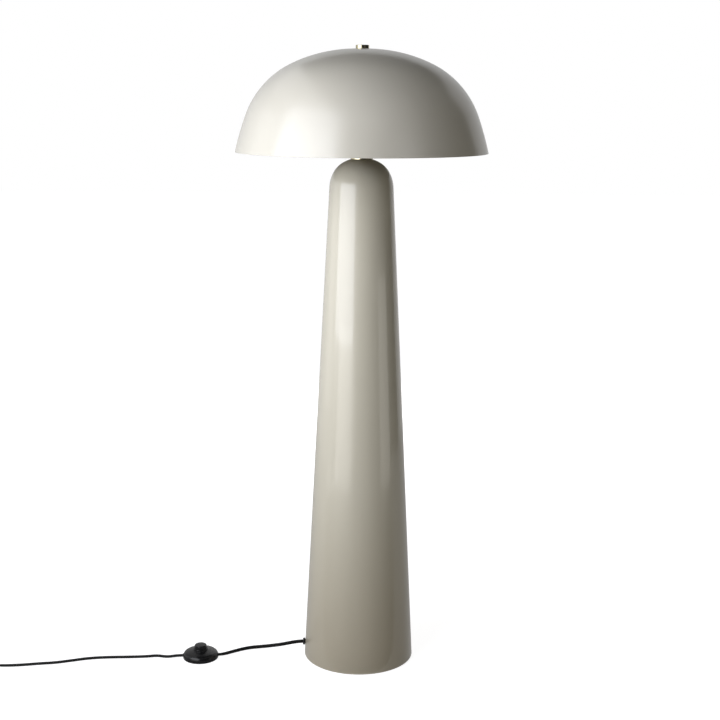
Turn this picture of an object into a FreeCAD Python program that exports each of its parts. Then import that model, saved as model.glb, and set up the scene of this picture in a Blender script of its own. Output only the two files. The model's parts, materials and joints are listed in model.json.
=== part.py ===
import FreeCAD
import Part
import math
import os
from FreeCAD import Placement, Rotation, Vector

# Mushroom floor lamp. Millimetres, +Z up, origin on the floor at the centre of the column's foot.
# Left in the comments is -X, the side that the cord leaves from, and front is -Y.

# ---- driving dimensions -------------------------------------------------------------------------

# Column: one tapered sheet-metal shell with a rounded shoulder of three arcs.
column_top = 963.2
column_wall = 1.2
column_foot_gap = 1.0
column_taper = 0.051
column_crown_radius = 69.0
column_crown_turn = 28.3
column_shoulder_radius = 46.1
column_shoulder_turn = 63.9
column_flank_radius = 65.0

# Shade: spun dome of three arcs round a small flat seat.
shade_rim_radius = 230.0
shade_rim_height = 972.8
shade_wall = 1.0
shade_seat_radius = 11.0
shade_crown_turn = 25.6
shade_shoulder_radius = 164.5
shade_shoulder_turn = 69.8
shade_flank_radius = 551.6
shade_rim_turn = 76.9

# Foot: weight, ring, screws and pad.
pad_thickness = 2.5
pad_radius = 98.0
weight_thickness = 12.0
weight_fit = 0.3
boss_radius = 46.0
boss_height = 14.0
ring_thickness = 2.0
ring_width = 17.0
ring_fit = 0.1
base_screw_count = 3
base_screw_circle = 94.0
base_screw_turn = 60.0
base_screw_radius = 2.5
base_screw_head_radius = 4.6
base_screw_head_height = 3.5
screw_clearance = 0.25
thread_clearance = 0.05

# Cord: flat twin flex, 7 by 4.3. The round tube here lies between its width and its thickness.
cord_diameter = 5.2
cord_hole_height = 21.7
cord_hole_radius = 5.2
bushing_flange_radius = 6.8
bushing_flange = 3.6
bushing_fit = 0.3
bushing_length = 19.0
bushing_tail_radius = 3.9
bushing_gap = 0.15

# Nipple, neck and harp saddle on the column's top.
nipple_radius = 5.0
nipple_bore = 3.9
nipple_tail = 3.0
nut_height = 5.0
nut_across_flats = 14.0
washer_radius = 14.0
washer_thickness = 1.5
neck_radius = 20.0
neck_wall = 1.2
neck_height = 21.4
neck_round = 3.0
seat_gap = 0.05
saddle_thickness = 1.6
saddle_width = 12.0
saddle_span = 27.0
saddle_rise = 10.0
saddle_bend = 4.0
harp_wire_radius = 2.0
harp_pin_length = 9.0
harp_pin_gap = 0.2
harp_straight = 26.0
harp_half_width = 47.0
harp_widest_height = 1068.0
eye_radius = 8.0
eye_height = 5.0
sleeve_length = 14.0
sleeve_wall = 1.3
running_clearance = 0.08
swivel_gap = 0.3
stud_head_radius = 5.2
stud_head_height = 2.1
stud_shaft_radius = 3.2
stud_disc_radius = 10.5
stud_disc_height = 2.5
stud_thread_radius = 3.1
stud_thread_length = 6.0
shade_hole_clearance = 0.2
finial_radius = 12.0
finial_height = 6.4
finial_round = 0.6
finial_bore_spare = 0.4

# Lampholder, from the saddle upwards.
socket_hub_radius = 7.0
socket_hub_height = 7.4
socket_radius = 17.4
socket_wall = 0.7
socket_cap_height = 26.4
socket_cap_flare_start = 2.4
socket_cap_flare_end = 14.4
socket_shell_height = 41.0
socket_shell_start = 17.5
socket_bead = 0.7
socket_slip = 0.1
liner_wall = 0.6
core_start = 17.5
core_height = 13.5
core_clearance = 0.3
screw_shell_bore = 13.1
screw_shell_wall = 0.6
screw_shell_height = 26.0
contact_strip_width = 8.0
contact_strip_length = 18.0
contact_strip_thickness = 0.6
contact_dome_radius = 3.0
contact_dome_height = 1.4
terminal_radius = 3.0
terminal_length = 2.0
terminal_height = 6.0

# Bulb, from its contact upwards.
bulb_gap = 0.3
bulb_cap_radius = 13.0
bulb_tip_radius = 4.6
bulb_tip_height = 1.6
bulb_insulator_height = 3.0
bulb_insulator_radius = 10.0
bulb_cap_height = 23.0
bulb_cap_cone = 2.5
bulb_glass_radius = 30.0
bulb_glass_wall = 1.0
bulb_neck_radius = 12.7
bulb_neck_overlap = 2.0
bulb_neck_straight = 4.0
bulb_length = 106.0

# Foot switch, in its own frame: centre on the floor, cord entries on its -X and +X sides.
switch_place_x = -306.5
switch_place_y = -30.0
switch_yaw = 3.0
switch_radius = 34.0
switch_wall = 1.8
switch_foot = 0.8
switch_skirt_top = 4.6
switch_dome_top = 16.1
switch_dome_slope = 0.17
switch_collar_radius = 13.7
switch_collar_top = 20.0
switch_collar_round = 0.8
switch_edge_round = 0.6
switch_ceiling = 14.3
switch_ceiling_radius = 14.6
switch_plate = 1.2
switch_plate_fit = 0.2
switch_foot_radius = 4.5
switch_foot_circle = 26.0
switch_foot_count = 4
switch_cord_height = 4.9
switch_cord_clearance = 0.5
switch_cord_inside = 16.0
button_radius = 11.5
button_top = 27.0
button_round = 1.6
button_crown = 0.5
button_bore = 8.6
button_roof = 3.2
button_flange_radius = 13.3
button_flange = 1.4
button_stop_gap = 0.1
plunger_radius = 3.0
plunger_bottom = 14.2
switch_screw_circle = 23.0
switch_screw_radius = 1.4
switch_screw_head_radius = 2.7
switch_screw_length = 9.0
switch_boss_radius = 3.6
carrier_length = 34.0
carrier_width = 20.0
carrier_thickness = 2.0
carrier_post_radius = 4.4
carrier_post_top = 9.6
terminal_block = (6.0, 7.0, 4.0)
terminal_block_x = 14.0
terminal_block_y = 5.5
clamp_block = (4.0, 14.0, 1.8)
clamp_place = 24.0
spring_radius = 6.2
spring_wire_radius = 0.5
spring_half_turns = 12
spring_end_gap = 0.3

# Coil of the put-away cord, its tie and the plug.
coil_centre_x = -752.0
coil_centre_y = -124.0
coil_outer_radius = 44.0
coil_pitch = 6.6
coil_layer = 5.8
coil_floor_gap = 1.2
coil_turns_in = 5
coil_turns_out = 6
coil_reverse_in = 0.7
coil_reverse_out = 1.2
tie_width = 12.0
tie_thickness = 1.0
tie_slack = 0.3
plug_relief_length = 24.0
plug_relief_thin = 3.4
plug_relief_thick = 5.4
plug_relief_ribs = 5
plug_relief_groove = 0.7
plug_length = 34.0
plug_width = 25.0
plug_neck_width = 13.0
plug_shoulder = 12.0
plug_round = 3.0
blade_length = 17.0
blade_thickness = 1.5
blade_width = 6.3
blade_spacing = 12.7
blade_hole_radius = 1.6
blade_hole_inset = 4.0

# Routes of the free cord: points chosen by hand, (x, y, z), between the ends that the pieces give.
lamp_cord_points = [
    (-122.5, 0.0, 21.7),
    (-148.0, 1.5, 16.6),
    (-176.0, 5.0, 10.8),
    (-200.0, 8.0, 6.2),
    (-220.0, 5.5, 3.4),
    (-243.0, -7.5, 2.8),
    (-268.5, -28.0, 4.9),
]
mains_cord_points = [
    (-351.0, -32.35, 4.9),
    (-371.0, -35.3, 2.7),
    (-391.0, -28.4, 2.6),
    (-411.0, -33.4, 2.6),
    (-446.0, -36.4, 2.6),
    (-486.0, -38.0, 2.6),
    (-522.0, -43.0, 2.6),
    (-552.0, -54.0, 2.6),
    (-583.0, -64.6, 2.6),
    (-612.0, -68.6, 2.6),
    (-640.0, -74.8, 2.6),
    (-668.0, -78.6, 2.6),
    (-692.0, -79.2, 2.6),
    (-714.0, -78.9, 3.1),
    (-732.0, -80.0, 3.8),
]
inner_cord_points = [
    (-65.0, 0.0, 21.7),
    (-47.0, 1.5, 36.0),
    (-28.0, 0.8, 50.0),
    (-8.0, 0.4, 72.0),
    (0.6, -1.2, 108.0),
]
inner_cord_sway = 1.2
inner_cord_runs = 12

# ---- sizes that follow from them ----------------------------------------------------------------

axis = Vector(0, 0, 1)
origin = Vector(0, 0, 0)
cord_radius = cord_diameter / 2


def radians(degrees):
    return math.radians(degrees)


def drop_on_arc(radius, reach):
    """How far a circle's rim falls below its top at a distance from its middle."""
    return radius - math.sqrt(radius ** 2 - reach ** 2)


def cone_heading():
    """Angle below the horizontal at which the column's flank runs down."""
    return math.pi / 2 - math.atan(column_taper)


column_bends = [
    (column_crown_radius, radians(column_crown_turn)),
    (column_shoulder_radius, radians(column_shoulder_turn)),
    (column_flank_radius, cone_heading()),
]


def reach_of(flat, bends):
    """Radius and drop at the end of a run of tangent arcs that starts level."""
    reach, drop, heading = flat, 0.0, 0.0
    for radius, end in bends:
        reach += radius * (math.sin(end) - math.sin(heading))
        drop += radius * (math.cos(heading) - math.cos(end))
        heading = end
    return reach, drop


crown_sine = math.sin(radians(shade_crown_turn))
shoulder_sine = math.sin(radians(shade_shoulder_turn))
rim_sine = math.sin(radians(shade_rim_turn))
shade_outer_reach = shade_shoulder_radius * (shoulder_sine - crown_sine)
shade_outer_reach += shade_flank_radius * (rim_sine - shoulder_sine)
shade_crown_radius = (shade_rim_radius - shade_seat_radius - shade_outer_reach) / crown_sine
shade_bends = [
    (shade_crown_radius, radians(shade_crown_turn)),
    (shade_shoulder_radius, radians(shade_shoulder_turn)),
    (shade_flank_radius, radians(shade_rim_turn)),
]
shade_height = reach_of(shade_seat_radius, shade_bends)[1]
shade_top = shade_rim_height + shade_height
shade_underside = shade_top - shade_wall

shoulder_reach, shoulder_drop = reach_of(0.0, column_bends)


def column_radius(height, inset=0.0):
    """Outer radius of the column's straight flank at a height, less an inset square to the wall."""
    outer = shoulder_reach + (column_top - shoulder_drop - height) * column_taper
    return outer - inset * math.sqrt(1 + column_taper ** 2)


def dome_height(reach, inset=0.0):
    """Height of the column's crown at a distance from the axis."""
    return column_top - inset - drop_on_arc(column_crown_radius - inset, reach)


weight_bottom = pad_thickness
weight_top = weight_bottom + weight_thickness
ring_top = weight_top + ring_thickness
wall_at_cord = column_radius(cord_hole_height)
bushing_seat = column_radius(cord_hole_height - bushing_flange_radius) + bushing_gap
bushing_face = bushing_seat + bushing_flange
bushing_tail = bushing_face - bushing_flange - bushing_length

washer_top = dome_height(washer_radius, column_wall) - seat_gap
nut_top = washer_top - washer_thickness
nipple_bottom = nut_top - nut_height - nipple_tail
neck_bottom = dome_height(neck_radius - neck_wall) + seat_gap
neck_top = neck_bottom + neck_height
saddle_top = neck_top + saddle_thickness
socket_bottom = saddle_top
nipple_top = socket_bottom + socket_hub_height
core_bottom = socket_bottom + core_start
core_top = core_bottom + core_height
socket_inner = socket_radius - socket_wall
liner_outer = socket_inner - 2 * socket_slip - socket_wall
saddle_shoulder = neck_top + saddle_rise
harp_pin_top = saddle_shoulder + harp_pin_length
harp_bottom = harp_pin_top + harp_pin_gap

stud_disc_bottom = shade_underside - stud_disc_height
eye_top = stud_disc_bottom - swivel_gap
eye_bottom = eye_top - eye_height
stud_head_top = eye_bottom - swivel_gap
stud_top = shade_underside + stud_thread_length
finial_bottom = shade_top + seat_gap

contact_top = core_top + contact_strip_thickness + contact_dome_height
bulb_bottom = contact_top + bulb_gap
bulb_insulator_bottom = bulb_bottom + bulb_tip_height
bulb_cap_bottom = bulb_insulator_bottom + bulb_insulator_height
bulb_cap_top = bulb_cap_bottom + bulb_cap_height
bulb_top = bulb_bottom + bulb_length

plate_top = switch_foot + switch_plate
carrier_top = plate_top + carrier_thickness
button_flange_top = switch_ceiling - button_stop_gap
button_roof_height = button_top - button_crown - button_roof
clamp_bottom = switch_cord_height + cord_radius

coil_low = cord_radius + coil_floor_gap
coil_high = coil_low + coil_layer


# ---- helpers ------------------------------------------------------------------------------------

def line(start, end):
    return Part.LineSegment(start, end).toShape()


def arc(start, middle, end):
    return Part.Arc(start, middle, end).toShape()


def outline(stops):
    """Closed face in the XZ plane: (x, z) is a corner, (mid x, mid z, x, z) ends an arc."""
    here = Vector(stops[0][0], 0, stops[0][1])
    edges = []
    for stop in list(stops[1:]) + [stops[0]]:
        there = Vector(stop[-2], 0, stop[-1])
        if (there - here).Length < 1e-6:
            continue
        if len(stop) == 4:
            edges.append(arc(here, Vector(stop[0], 0, stop[1]), there))
        else:
            edges.append(line(here, there))
        here = there
    return Part.Face(Part.Wire(edges))


def turned(stops):
    """Solid of revolution about Z from an outline."""
    return outline(stops).revolve(origin, axis, 360)


def cylinder(radius, bottom, top, x=0.0, y=0.0):
    return Part.makeCylinder(radius, top - bottom, Vector(x, y, bottom), axis)


def ring(outer, inner, bottom, top, x=0.0, y=0.0):
    return cylinder(outer, bottom, top, x, y).cut(cylinder(inner, bottom - 1, top + 1, x, y))


def box(width, depth, height, x, y, bottom):
    return Part.makeBox(width, depth, height, Vector(x - width / 2, y - depth / 2, bottom))


def around(count, radius, first=0.0):
    """Centres of a bolt circle."""
    angles = [radians(first + 360.0 * k / count) for k in range(count)]
    return [(radius * math.cos(a), radius * math.sin(a)) for a in angles]


def biarc(start, heading, end, final):
    """Two tangent arcs from one point and direction to another, in space."""
    chord = end - start
    both = heading + final
    square = 2 * (1 - heading.dot(final))
    along = chord.dot(both)
    if abs(square) < 1e-9:
        reach = chord.Length ** 2 / (2 * along)
    else:
        reach = (math.sqrt(along ** 2 + square * chord.dot(chord)) - along) / square
    first = start + heading * reach
    last = end - final * reach
    joint = (first + last) * 0.5
    return [bend(start, first, joint), bend(joint, last, end)]


def bend(start, corner, end):
    """Arc from start to end, tangent to the lines that meet at the corner."""
    half = (end - start) * 0.5
    middle = start + half
    rise = corner - middle
    if rise.Length < 1e-6:
        return line(start, end)
    leg = (corner - start).Length
    sagitta = rise.Length * half.Length / (leg + half.Length)
    return arc(start, middle + rise * (sagitta / rise.Length), end)


def crown_edges(top, flat, bends, inset):
    """Edges from the axis down a run of arcs, offset inwards by inset, with the end and its heading."""
    here = Vector(flat, 0, top - inset)
    edges = []
    if flat > 0:
        edges.append(line(Vector(0, 0, top - inset), here))
    heading = 0.0
    for radius, end in bends:
        small = radius - inset
        centre = here - Vector(math.sin(heading), 0, math.cos(heading)) * small
        half = (heading + end) / 2
        middle = centre + Vector(math.sin(half), 0, math.cos(half)) * small
        there = centre + Vector(math.sin(end), 0, math.cos(end)) * small
        edges.append(arc(here, middle, there))
        here = there
        heading = end
    return edges, here


def tube(edges, radius):
    """Round solid along a tangent path."""
    spine = Part.Wire(edges)
    start = edges[0].valueAt(edges[0].FirstParameter)
    heading = edges[0].tangentAt(edges[0].FirstParameter)
    section = Part.Wire([Part.Circle(start, heading, radius).toShape()])
    return spine.makePipeShell([section], True, False)


def route(name, points):
    """Straight runs joined by tangent arcs, each as large as its two runs allow."""
    stops = [Vector(*p) for p in points]
    here = stops[0]
    edges = []
    radii = []
    for before, corner, after in zip(stops, stops[1:], stops[2:]):
        back = (before - corner)
        ahead = (after - corner)
        tangent = 0.45 * min(back.Length, ahead.Length)
        turn = math.pi - back.getAngle(ahead)
        radii.append(tangent / math.tan(turn / 2))
        first = corner + back.normalize() * tangent
        last = corner + ahead.normalize() * tangent
        edges.append(line(here, first))
        edges.append(bend(first, corner, last))
        here = last
    edges.append(line(here, stops[-1]))
    solid = tube(edges, cord_radius)
    length = sum(e.Length for e in edges)
    print(name, "length", round(length, 1), "radii", [round(r) for r in radii])
    print(name, "volume ratio", round(solid.Volume / (math.pi * cord_radius ** 2 * length), 4))
    return solid


def shift(shape, x, y, z):
    moved = shape.copy()
    moved.translate(Vector(x, y, z))
    return moved


def on_floor(shape):
    """Takes a piece from the foot switch's own frame to its place on the floor."""
    moved = shape.copy()
    moved.Placement = Placement(
        Vector(switch_place_x, switch_place_y, 0), Rotation(axis, switch_yaw)
    ).multiply(moved.Placement)
    return moved


def floor_point(x, y, z):
    angle = radians(switch_yaw)
    return (
        switch_place_x + x * math.cos(angle) - y * math.sin(angle),
        switch_place_y + x * math.sin(angle) + y * math.cos(angle),
        z,
    )


parts = {}


# ---- column and foot ----------------------------------------------------------------------------

def column_shell():
    outer, outer_end = crown_edges(column_top, 0.0, column_bends, 0.0)
    inner, inner_end = crown_edges(column_top, 0.0, column_bends, column_wall)
    foot_out = Vector(column_radius(column_foot_gap), 0, column_foot_gap)
    foot_in = Vector(column_radius(column_foot_gap, column_wall), 0, column_foot_gap)
    sides = [line(outer_end, foot_out), line(foot_out, foot_in), line(foot_in, inner_end)]
    top = line(Vector(0, 0, column_top - column_wall), Vector(0, 0, column_top))
    loop = Part.Wire(Part.__sortEdges__(outer + sides + inner + [top]))
    shell = Part.Face(loop).revolve(origin, axis, 360)
    shell = shell.cut(cylinder(nipple_radius + screw_clearance, column_top - 20, column_top + 1))
    drill = Part.makeCylinder(
        cord_hole_radius, 2 * wall_at_cord, Vector(-2 * wall_at_cord, 0, cord_hole_height), Vector(1, 0, 0)
    )
    return shell.cut(drill)


def base_ring():
    inside = column_wall + ring_fit
    low = column_radius(weight_top, inside)
    high = column_radius(ring_top, inside)
    body = turned([
        (low - ring_width, weight_top),
        (low, weight_top),
        (high, ring_top),
        (low - ring_width, ring_top),
    ])
    for x, y in around(base_screw_count, base_screw_circle, base_screw_turn):
        hole = cylinder(base_screw_radius + thread_clearance, weight_top - 1, ring_top + 1, x, y)
        body = body.cut(hole)
    return body


def base_weight():
    inside = column_wall + weight_fit
    low = column_radius(weight_bottom, inside)
    high = column_radius(weight_top, inside)
    chamfer = 2.0
    body = turned([
        (0.0, weight_bottom),
        (low, weight_bottom),
        (high, weight_top),
        (boss_radius + boss_height, weight_top),
        (boss_radius, weight_top + boss_height),
        (chamfer, weight_top + boss_height),
        (0.0, weight_top + boss_height - chamfer),
    ])
    for x, y in around(base_screw_count, base_screw_circle, base_screw_turn):
        hole = cylinder(base_screw_radius + screw_clearance, weight_bottom - 1, weight_top + 1, x, y)
        pocket = cylinder(
            base_screw_head_radius + 2 * screw_clearance,
            weight_bottom - 1,
            weight_bottom + base_screw_head_height + screw_clearance,
            x,
            y,
        )
        body = body.cut(hole).cut(pocket)
    return body


def base_screws():
    head_top = weight_bottom + base_screw_head_height + screw_clearance
    screws = []
    for x, y in around(base_screw_count, base_screw_circle, base_screw_turn):
        head = cylinder(base_screw_head_radius, head_top - base_screw_head_height, head_top, x, y)
        shank = cylinder(base_screw_radius, head_top, ring_top, x, y)
        screws.append(head.fuse(shank).removeSplitter())
    return Part.makeCompound(screws)


def base_pad():
    return cylinder(pad_radius, 0.0, pad_thickness)


def cord_bushing():
    edge = 1.2
    barrel = cord_hole_radius - bushing_fit
    profile = [
        (0.0, 0.0),
        (cord_radius + 1.0, 0.0),
        (bushing_flange_radius - edge * 0.3, edge * 0.3, bushing_flange_radius, edge * 1.4),
        (bushing_flange_radius, bushing_flange),
        (barrel, bushing_flange),
        (barrel, bushing_flange + 2 * column_wall + 1.0),
        (bushing_tail_radius, bushing_flange + bushing_length),
        (0.0, bushing_flange + bushing_length),
    ]
    body = turned(profile)
    body.Placement = Placement(Vector(-bushing_face, 0, cord_hole_height), Rotation(Vector(0, 1, 0), 90))
    return body


# ---- nipple, neck and harp ----------------------------------------------------------------------

def top_nipple():
    return ring(nipple_radius, nipple_bore, nipple_bottom, nipple_top)


def nipple_washer():
    return ring(washer_radius, nipple_radius + thread_clearance, washer_top - washer_thickness, washer_top)


def nipple_nut():
    corner = nut_across_flats / 2 / math.cos(radians(30))
    corners = [Vector(x, y, nut_top - nut_height) for x, y in around(6, corner)]
    hexagon = Part.Face(Part.makePolygon(corners + [corners[0]])).extrude(Vector(0, 0, nut_height))
    bevel = turned([
        (0.0, nut_top - nut_height),
        (corner - 1.0, nut_top - nut_height),
        (corner, nut_top - nut_height + 0.8),
        (corner, nut_top),
        (0.0, nut_top),
    ])
    bore = cylinder(nipple_radius + thread_clearance, nut_top - nut_height - 1, nut_top + 1)
    return hexagon.common(bevel).cut(bore)


def neck_cup():
    inner = neck_radius - neck_wall
    inner_round = neck_round - neck_wall
    diagonal = math.sin(radians(45))
    bore = nipple_radius + thread_clearance
    return turned([
        (inner, neck_bottom),
        (neck_radius, neck_bottom),
        (neck_radius, neck_top - neck_round),
        (
            neck_radius - neck_round * (1 - diagonal),
            neck_top - neck_round * (1 - diagonal),
            neck_radius - neck_round,
            neck_top,
        ),
        (bore, neck_top),
        (bore, neck_top - neck_wall),
        (inner - inner_round, neck_top - neck_wall),
        (
            inner - inner_round * (1 - diagonal),
            neck_top - neck_wall - inner_round * (1 - diagonal),
            inner,
            neck_top - neck_wall - inner_round,
        ),
    ])


def harp_saddle():
    low = neck_top
    reach = saddle_span + saddle_thickness / 2
    inside = reach - saddle_thickness
    outer_bend = saddle_bend + saddle_thickness
    diagonal = 1 - math.sin(radians(45))
    right = [
        (reach - outer_bend, low),
        (reach - outer_bend * diagonal, low + outer_bend * diagonal, reach, low + outer_bend),
        (reach, saddle_shoulder),
        (inside, saddle_shoulder),
        (inside, low + outer_bend),
        (
            inside - saddle_bend * diagonal,
            low + saddle_thickness + saddle_bend * diagonal,
            inside - saddle_bend,
            low + saddle_thickness,
        ),
    ]
    half = outline([(0.0, low)] + right + [(0.0, low + saddle_thickness)])
    half = half.extrude(Vector(0, saddle_width, 0))
    half.translate(Vector(0, -saddle_width / 2, 0))
    block = box(2 * harp_wire_radius + 2.0, 2 * harp_wire_radius + 2.0, 3.0, saddle_span, 0.0, saddle_shoulder - 3.0)
    pin = cylinder(harp_wire_radius, saddle_shoulder - 1, harp_pin_top, saddle_span)
    half = half.fuse(block).fuse(pin)
    other = half.mirror(origin, Vector(1, 0, 0))
    bore = cylinder(nipple_radius + thread_clearance, low - 1, saddle_top + 1)
    return half.fuse(other).removeSplitter().cut(bore)


def harp_bow():
    up = Vector(0, 0, 1)
    start = Vector(saddle_span, 0, harp_bottom)
    above = Vector(saddle_span, 0, harp_bottom + harp_straight)
    widest = Vector(harp_half_width, 0, harp_widest_height)
    end = Vector(eye_radius - 1.5, 0, (eye_top + eye_bottom) / 2)
    path = [line(start, above)]
    path += biarc(above, up, widest, up)
    path += biarc(widest, up, end, Vector(-1, 0, 0))
    side = tube(path, harp_wire_radius)
    other = side.mirror(origin, Vector(1, 0, 0))
    eye = cylinder(eye_radius, eye_bottom, eye_top)
    bore = cylinder(stud_shaft_radius + running_clearance, eye_bottom - 1, eye_top + 1)
    return eye.fuse(side).fuse(other).removeSplitter().cut(bore)


def harp_sleeve(side):
    bore = harp_wire_radius + running_clearance
    return ring(bore + sleeve_wall, bore, saddle_shoulder, saddle_shoulder + sleeve_length, side * saddle_span)


# ---- shade and what holds it --------------------------------------------------------------------

def shade_shell():
    outer, outer_end = crown_edges(shade_top, shade_seat_radius, shade_bends, 0.0)
    inner, inner_end = crown_edges(shade_top, shade_seat_radius, shade_bends, shade_wall)
    top = line(Vector(0, 0, shade_underside), Vector(0, 0, shade_top))
    loop = Part.Wire(Part.__sortEdges__(outer + [line(outer_end, inner_end)] + inner + [top]))
    shell = Part.Face(loop).revolve(origin, axis, 360)
    hole = cylinder(stud_thread_radius + shade_hole_clearance, shade_underside - 1, shade_top + 1)
    return shell.cut(hole)


def swivel_stud():
    return turned([
        (0.0, stud_head_top - stud_head_height),
        (stud_head_radius, stud_head_top - stud_head_height),
        (stud_head_radius, stud_head_top),
        (stud_shaft_radius, stud_head_top),
        (stud_shaft_radius, stud_disc_bottom),
        (stud_disc_radius, stud_disc_bottom),
        (stud_disc_radius, shade_underside),
        (stud_thread_radius, shade_underside),
        (stud_thread_radius, stud_top),
        (0.0, stud_top),
    ])


def finial():
    top = finial_bottom + finial_height
    bore = stud_thread_radius + running_clearance
    diagonal = finial_round * (1 - math.sin(radians(45)))
    return turned([
        (bore, finial_bottom),
        (finial_radius - finial_round, finial_bottom),
        (finial_radius - diagonal, finial_bottom + diagonal, finial_radius, finial_bottom + finial_round),
        (finial_radius, top - finial_round),
        (finial_radius - diagonal, top - diagonal, finial_radius - finial_round, top),
        (0.0, top),
        (0.0, stud_top + finial_bore_spare),
        (bore, stud_top + finial_bore_spare),
    ])


# ---- lampholder ---------------------------------------------------------------------------------

def socket_cap():
    bore = nipple_radius + thread_clearance
    flare_low = socket_bottom + socket_cap_flare_start
    flare_high = socket_bottom + socket_cap_flare_end
    lip = socket_bottom + socket_cap_height
    hub_top = socket_bottom + socket_hub_height
    bulge = 0.72
    across = socket_radius - socket_hub_radius
    inner_across = across - socket_wall
    tall = flare_high - flare_low
    return turned([
        (bore, socket_bottom),
        (socket_hub_radius, socket_bottom),
        (socket_hub_radius, flare_low),
        (
            socket_hub_radius + across * bulge,
            flare_low + tall * (1 - bulge),
            socket_radius,
            flare_high,
        ),
        (socket_radius, lip),
        (socket_inner, lip),
        (socket_inner, flare_high),
        (
            socket_hub_radius + inner_across * bulge,
            flare_low + socket_wall + (tall - socket_wall) * (1 - bulge),
            socket_hub_radius,
            flare_low + socket_wall,
        ),
        (socket_hub_radius, hub_top),
        (bore, hub_top),
    ])


def socket_shell():
    outer = socket_inner - socket_slip
    inner = outer - socket_wall
    low = socket_bottom + socket_shell_start
    high = low + socket_shell_height
    return turned([
        (inner, low),
        (outer, low),
        (outer, high - 2 * socket_bead),
        (outer + socket_bead, high - socket_bead, outer, high),
        (inner, high),
    ])


def socket_liner():
    low = socket_bottom + socket_shell_start
    return ring(liner_outer, liner_outer - liner_wall, low, low + socket_shell_height - 1.0)


def socket_core():
    radius = liner_outer - liner_wall - core_clearance
    body = cylinder(radius, core_bottom, core_top)
    for side in (-1, 1):
        flat = box(
            terminal_length * 2, radius * 2, terminal_height * 1.6, 0, 0, core_bottom + 2.0
        )
        body = body.cut(shift(flat, side * radius, 0, 0))
    return body


def socket_screw_shell():
    wide = screw_shell_bore + screw_shell_wall
    return ring(wide, screw_shell_bore, core_top, core_top + screw_shell_height)


def socket_contact():
    strip = box(contact_strip_length, contact_strip_width, contact_strip_thickness, 0, 0, core_top)
    base = core_top + contact_strip_thickness
    dome = turned([
        (0.0, base - 0.1),
        (contact_dome_radius, base - 0.1),
        (contact_dome_radius, base),
        (contact_dome_radius * 0.6, base + contact_dome_height, ),
        (0.0, base + contact_dome_height),
    ])
    return strip.fuse(dome).removeSplitter()


def socket_terminals():
    radius = liner_outer - liner_wall - core_clearance
    start = radius - terminal_length * 2 + terminal_length
    middle = core_bottom + 2.0 + terminal_height * 0.8
    screws = []
    for side in (-1, 1):
        head = Part.makeCylinder(
            terminal_radius, terminal_length * 0.8, Vector(side * start, 0, middle), Vector(side, 0, 0)
        )
        screws.append(head)
    return Part.makeCompound(screws)


# ---- bulb ---------------------------------------------------------------------------------------

def bulb_tip():
    return turned([
        (0.0, bulb_bottom),
        (bulb_tip_radius * 0.6, bulb_bottom),
        (bulb_tip_radius, bulb_insulator_bottom),
        (0.0, bulb_insulator_bottom),
    ])


def bulb_insulator():
    return turned([
        (0.0, bulb_insulator_bottom),
        (bulb_tip_radius + 1.0, bulb_insulator_bottom),
        (bulb_insulator_radius, bulb_cap_bottom),
        (0.0, bulb_cap_bottom),
    ])


def bulb_cap():
    inner = bulb_neck_radius
    glass_bottom = bulb_cap_top - bulb_neck_overlap
    return turned([
        (0.0, bulb_cap_bottom),
        (bulb_insulator_radius, bulb_cap_bottom),
        (bulb_cap_radius, bulb_cap_bottom + bulb_cap_cone),
        (bulb_cap_radius, bulb_cap_top),
        (inner + 0.05, bulb_cap_top),
        (inner + 0.05, glass_bottom),
        (inner - 1.5, glass_bottom),
        (inner - 1.5, bulb_cap_bottom + bulb_cap_cone),
        (0.0, bulb_cap_bottom + bulb_cap_cone),
    ])


def bulb_glass():
    bottom = bulb_cap_top - bulb_neck_overlap
    middle = bulb_top - bulb_glass_radius

    def half(inset):
        start = Vector(bulb_neck_radius - inset, 0, bottom + bulb_neck_straight)
        widest = Vector(bulb_glass_radius - inset, 0, middle)
        top = Vector(0, 0, bulb_top - inset)
        side = biarc(start, Vector(0.22, 0, 1).normalize(), widest, Vector(0, 0, 1))
        tilt = math.sin(radians(45)) * (bulb_glass_radius - inset)
        crown = arc(widest, Vector(tilt, 0, middle + tilt), top)
        return [line(Vector(start.x, 0, bottom), start)] + side + [crown]

    outer = half(0.0)
    inner = half(bulb_glass_wall)
    foot = line(Vector(bulb_neck_radius, 0, bottom), Vector(bulb_neck_radius - bulb_glass_wall, 0, bottom))
    cap = line(Vector(0, 0, bulb_top), Vector(0, 0, bulb_top - bulb_glass_wall))
    loop = Part.Wire(Part.__sortEdges__(outer + inner + [foot, cap]))
    return Part.Face(loop).revolve(origin, axis, 360)


# ---- foot switch --------------------------------------------------------------------------------

def dome_edges(start, end, slope):
    """Side view of the switch's dome, from its upright skirt in towards the collar."""
    return biarc(start, Vector(0, 0, 1), end, Vector(-1, 0, slope).normalize())


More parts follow.
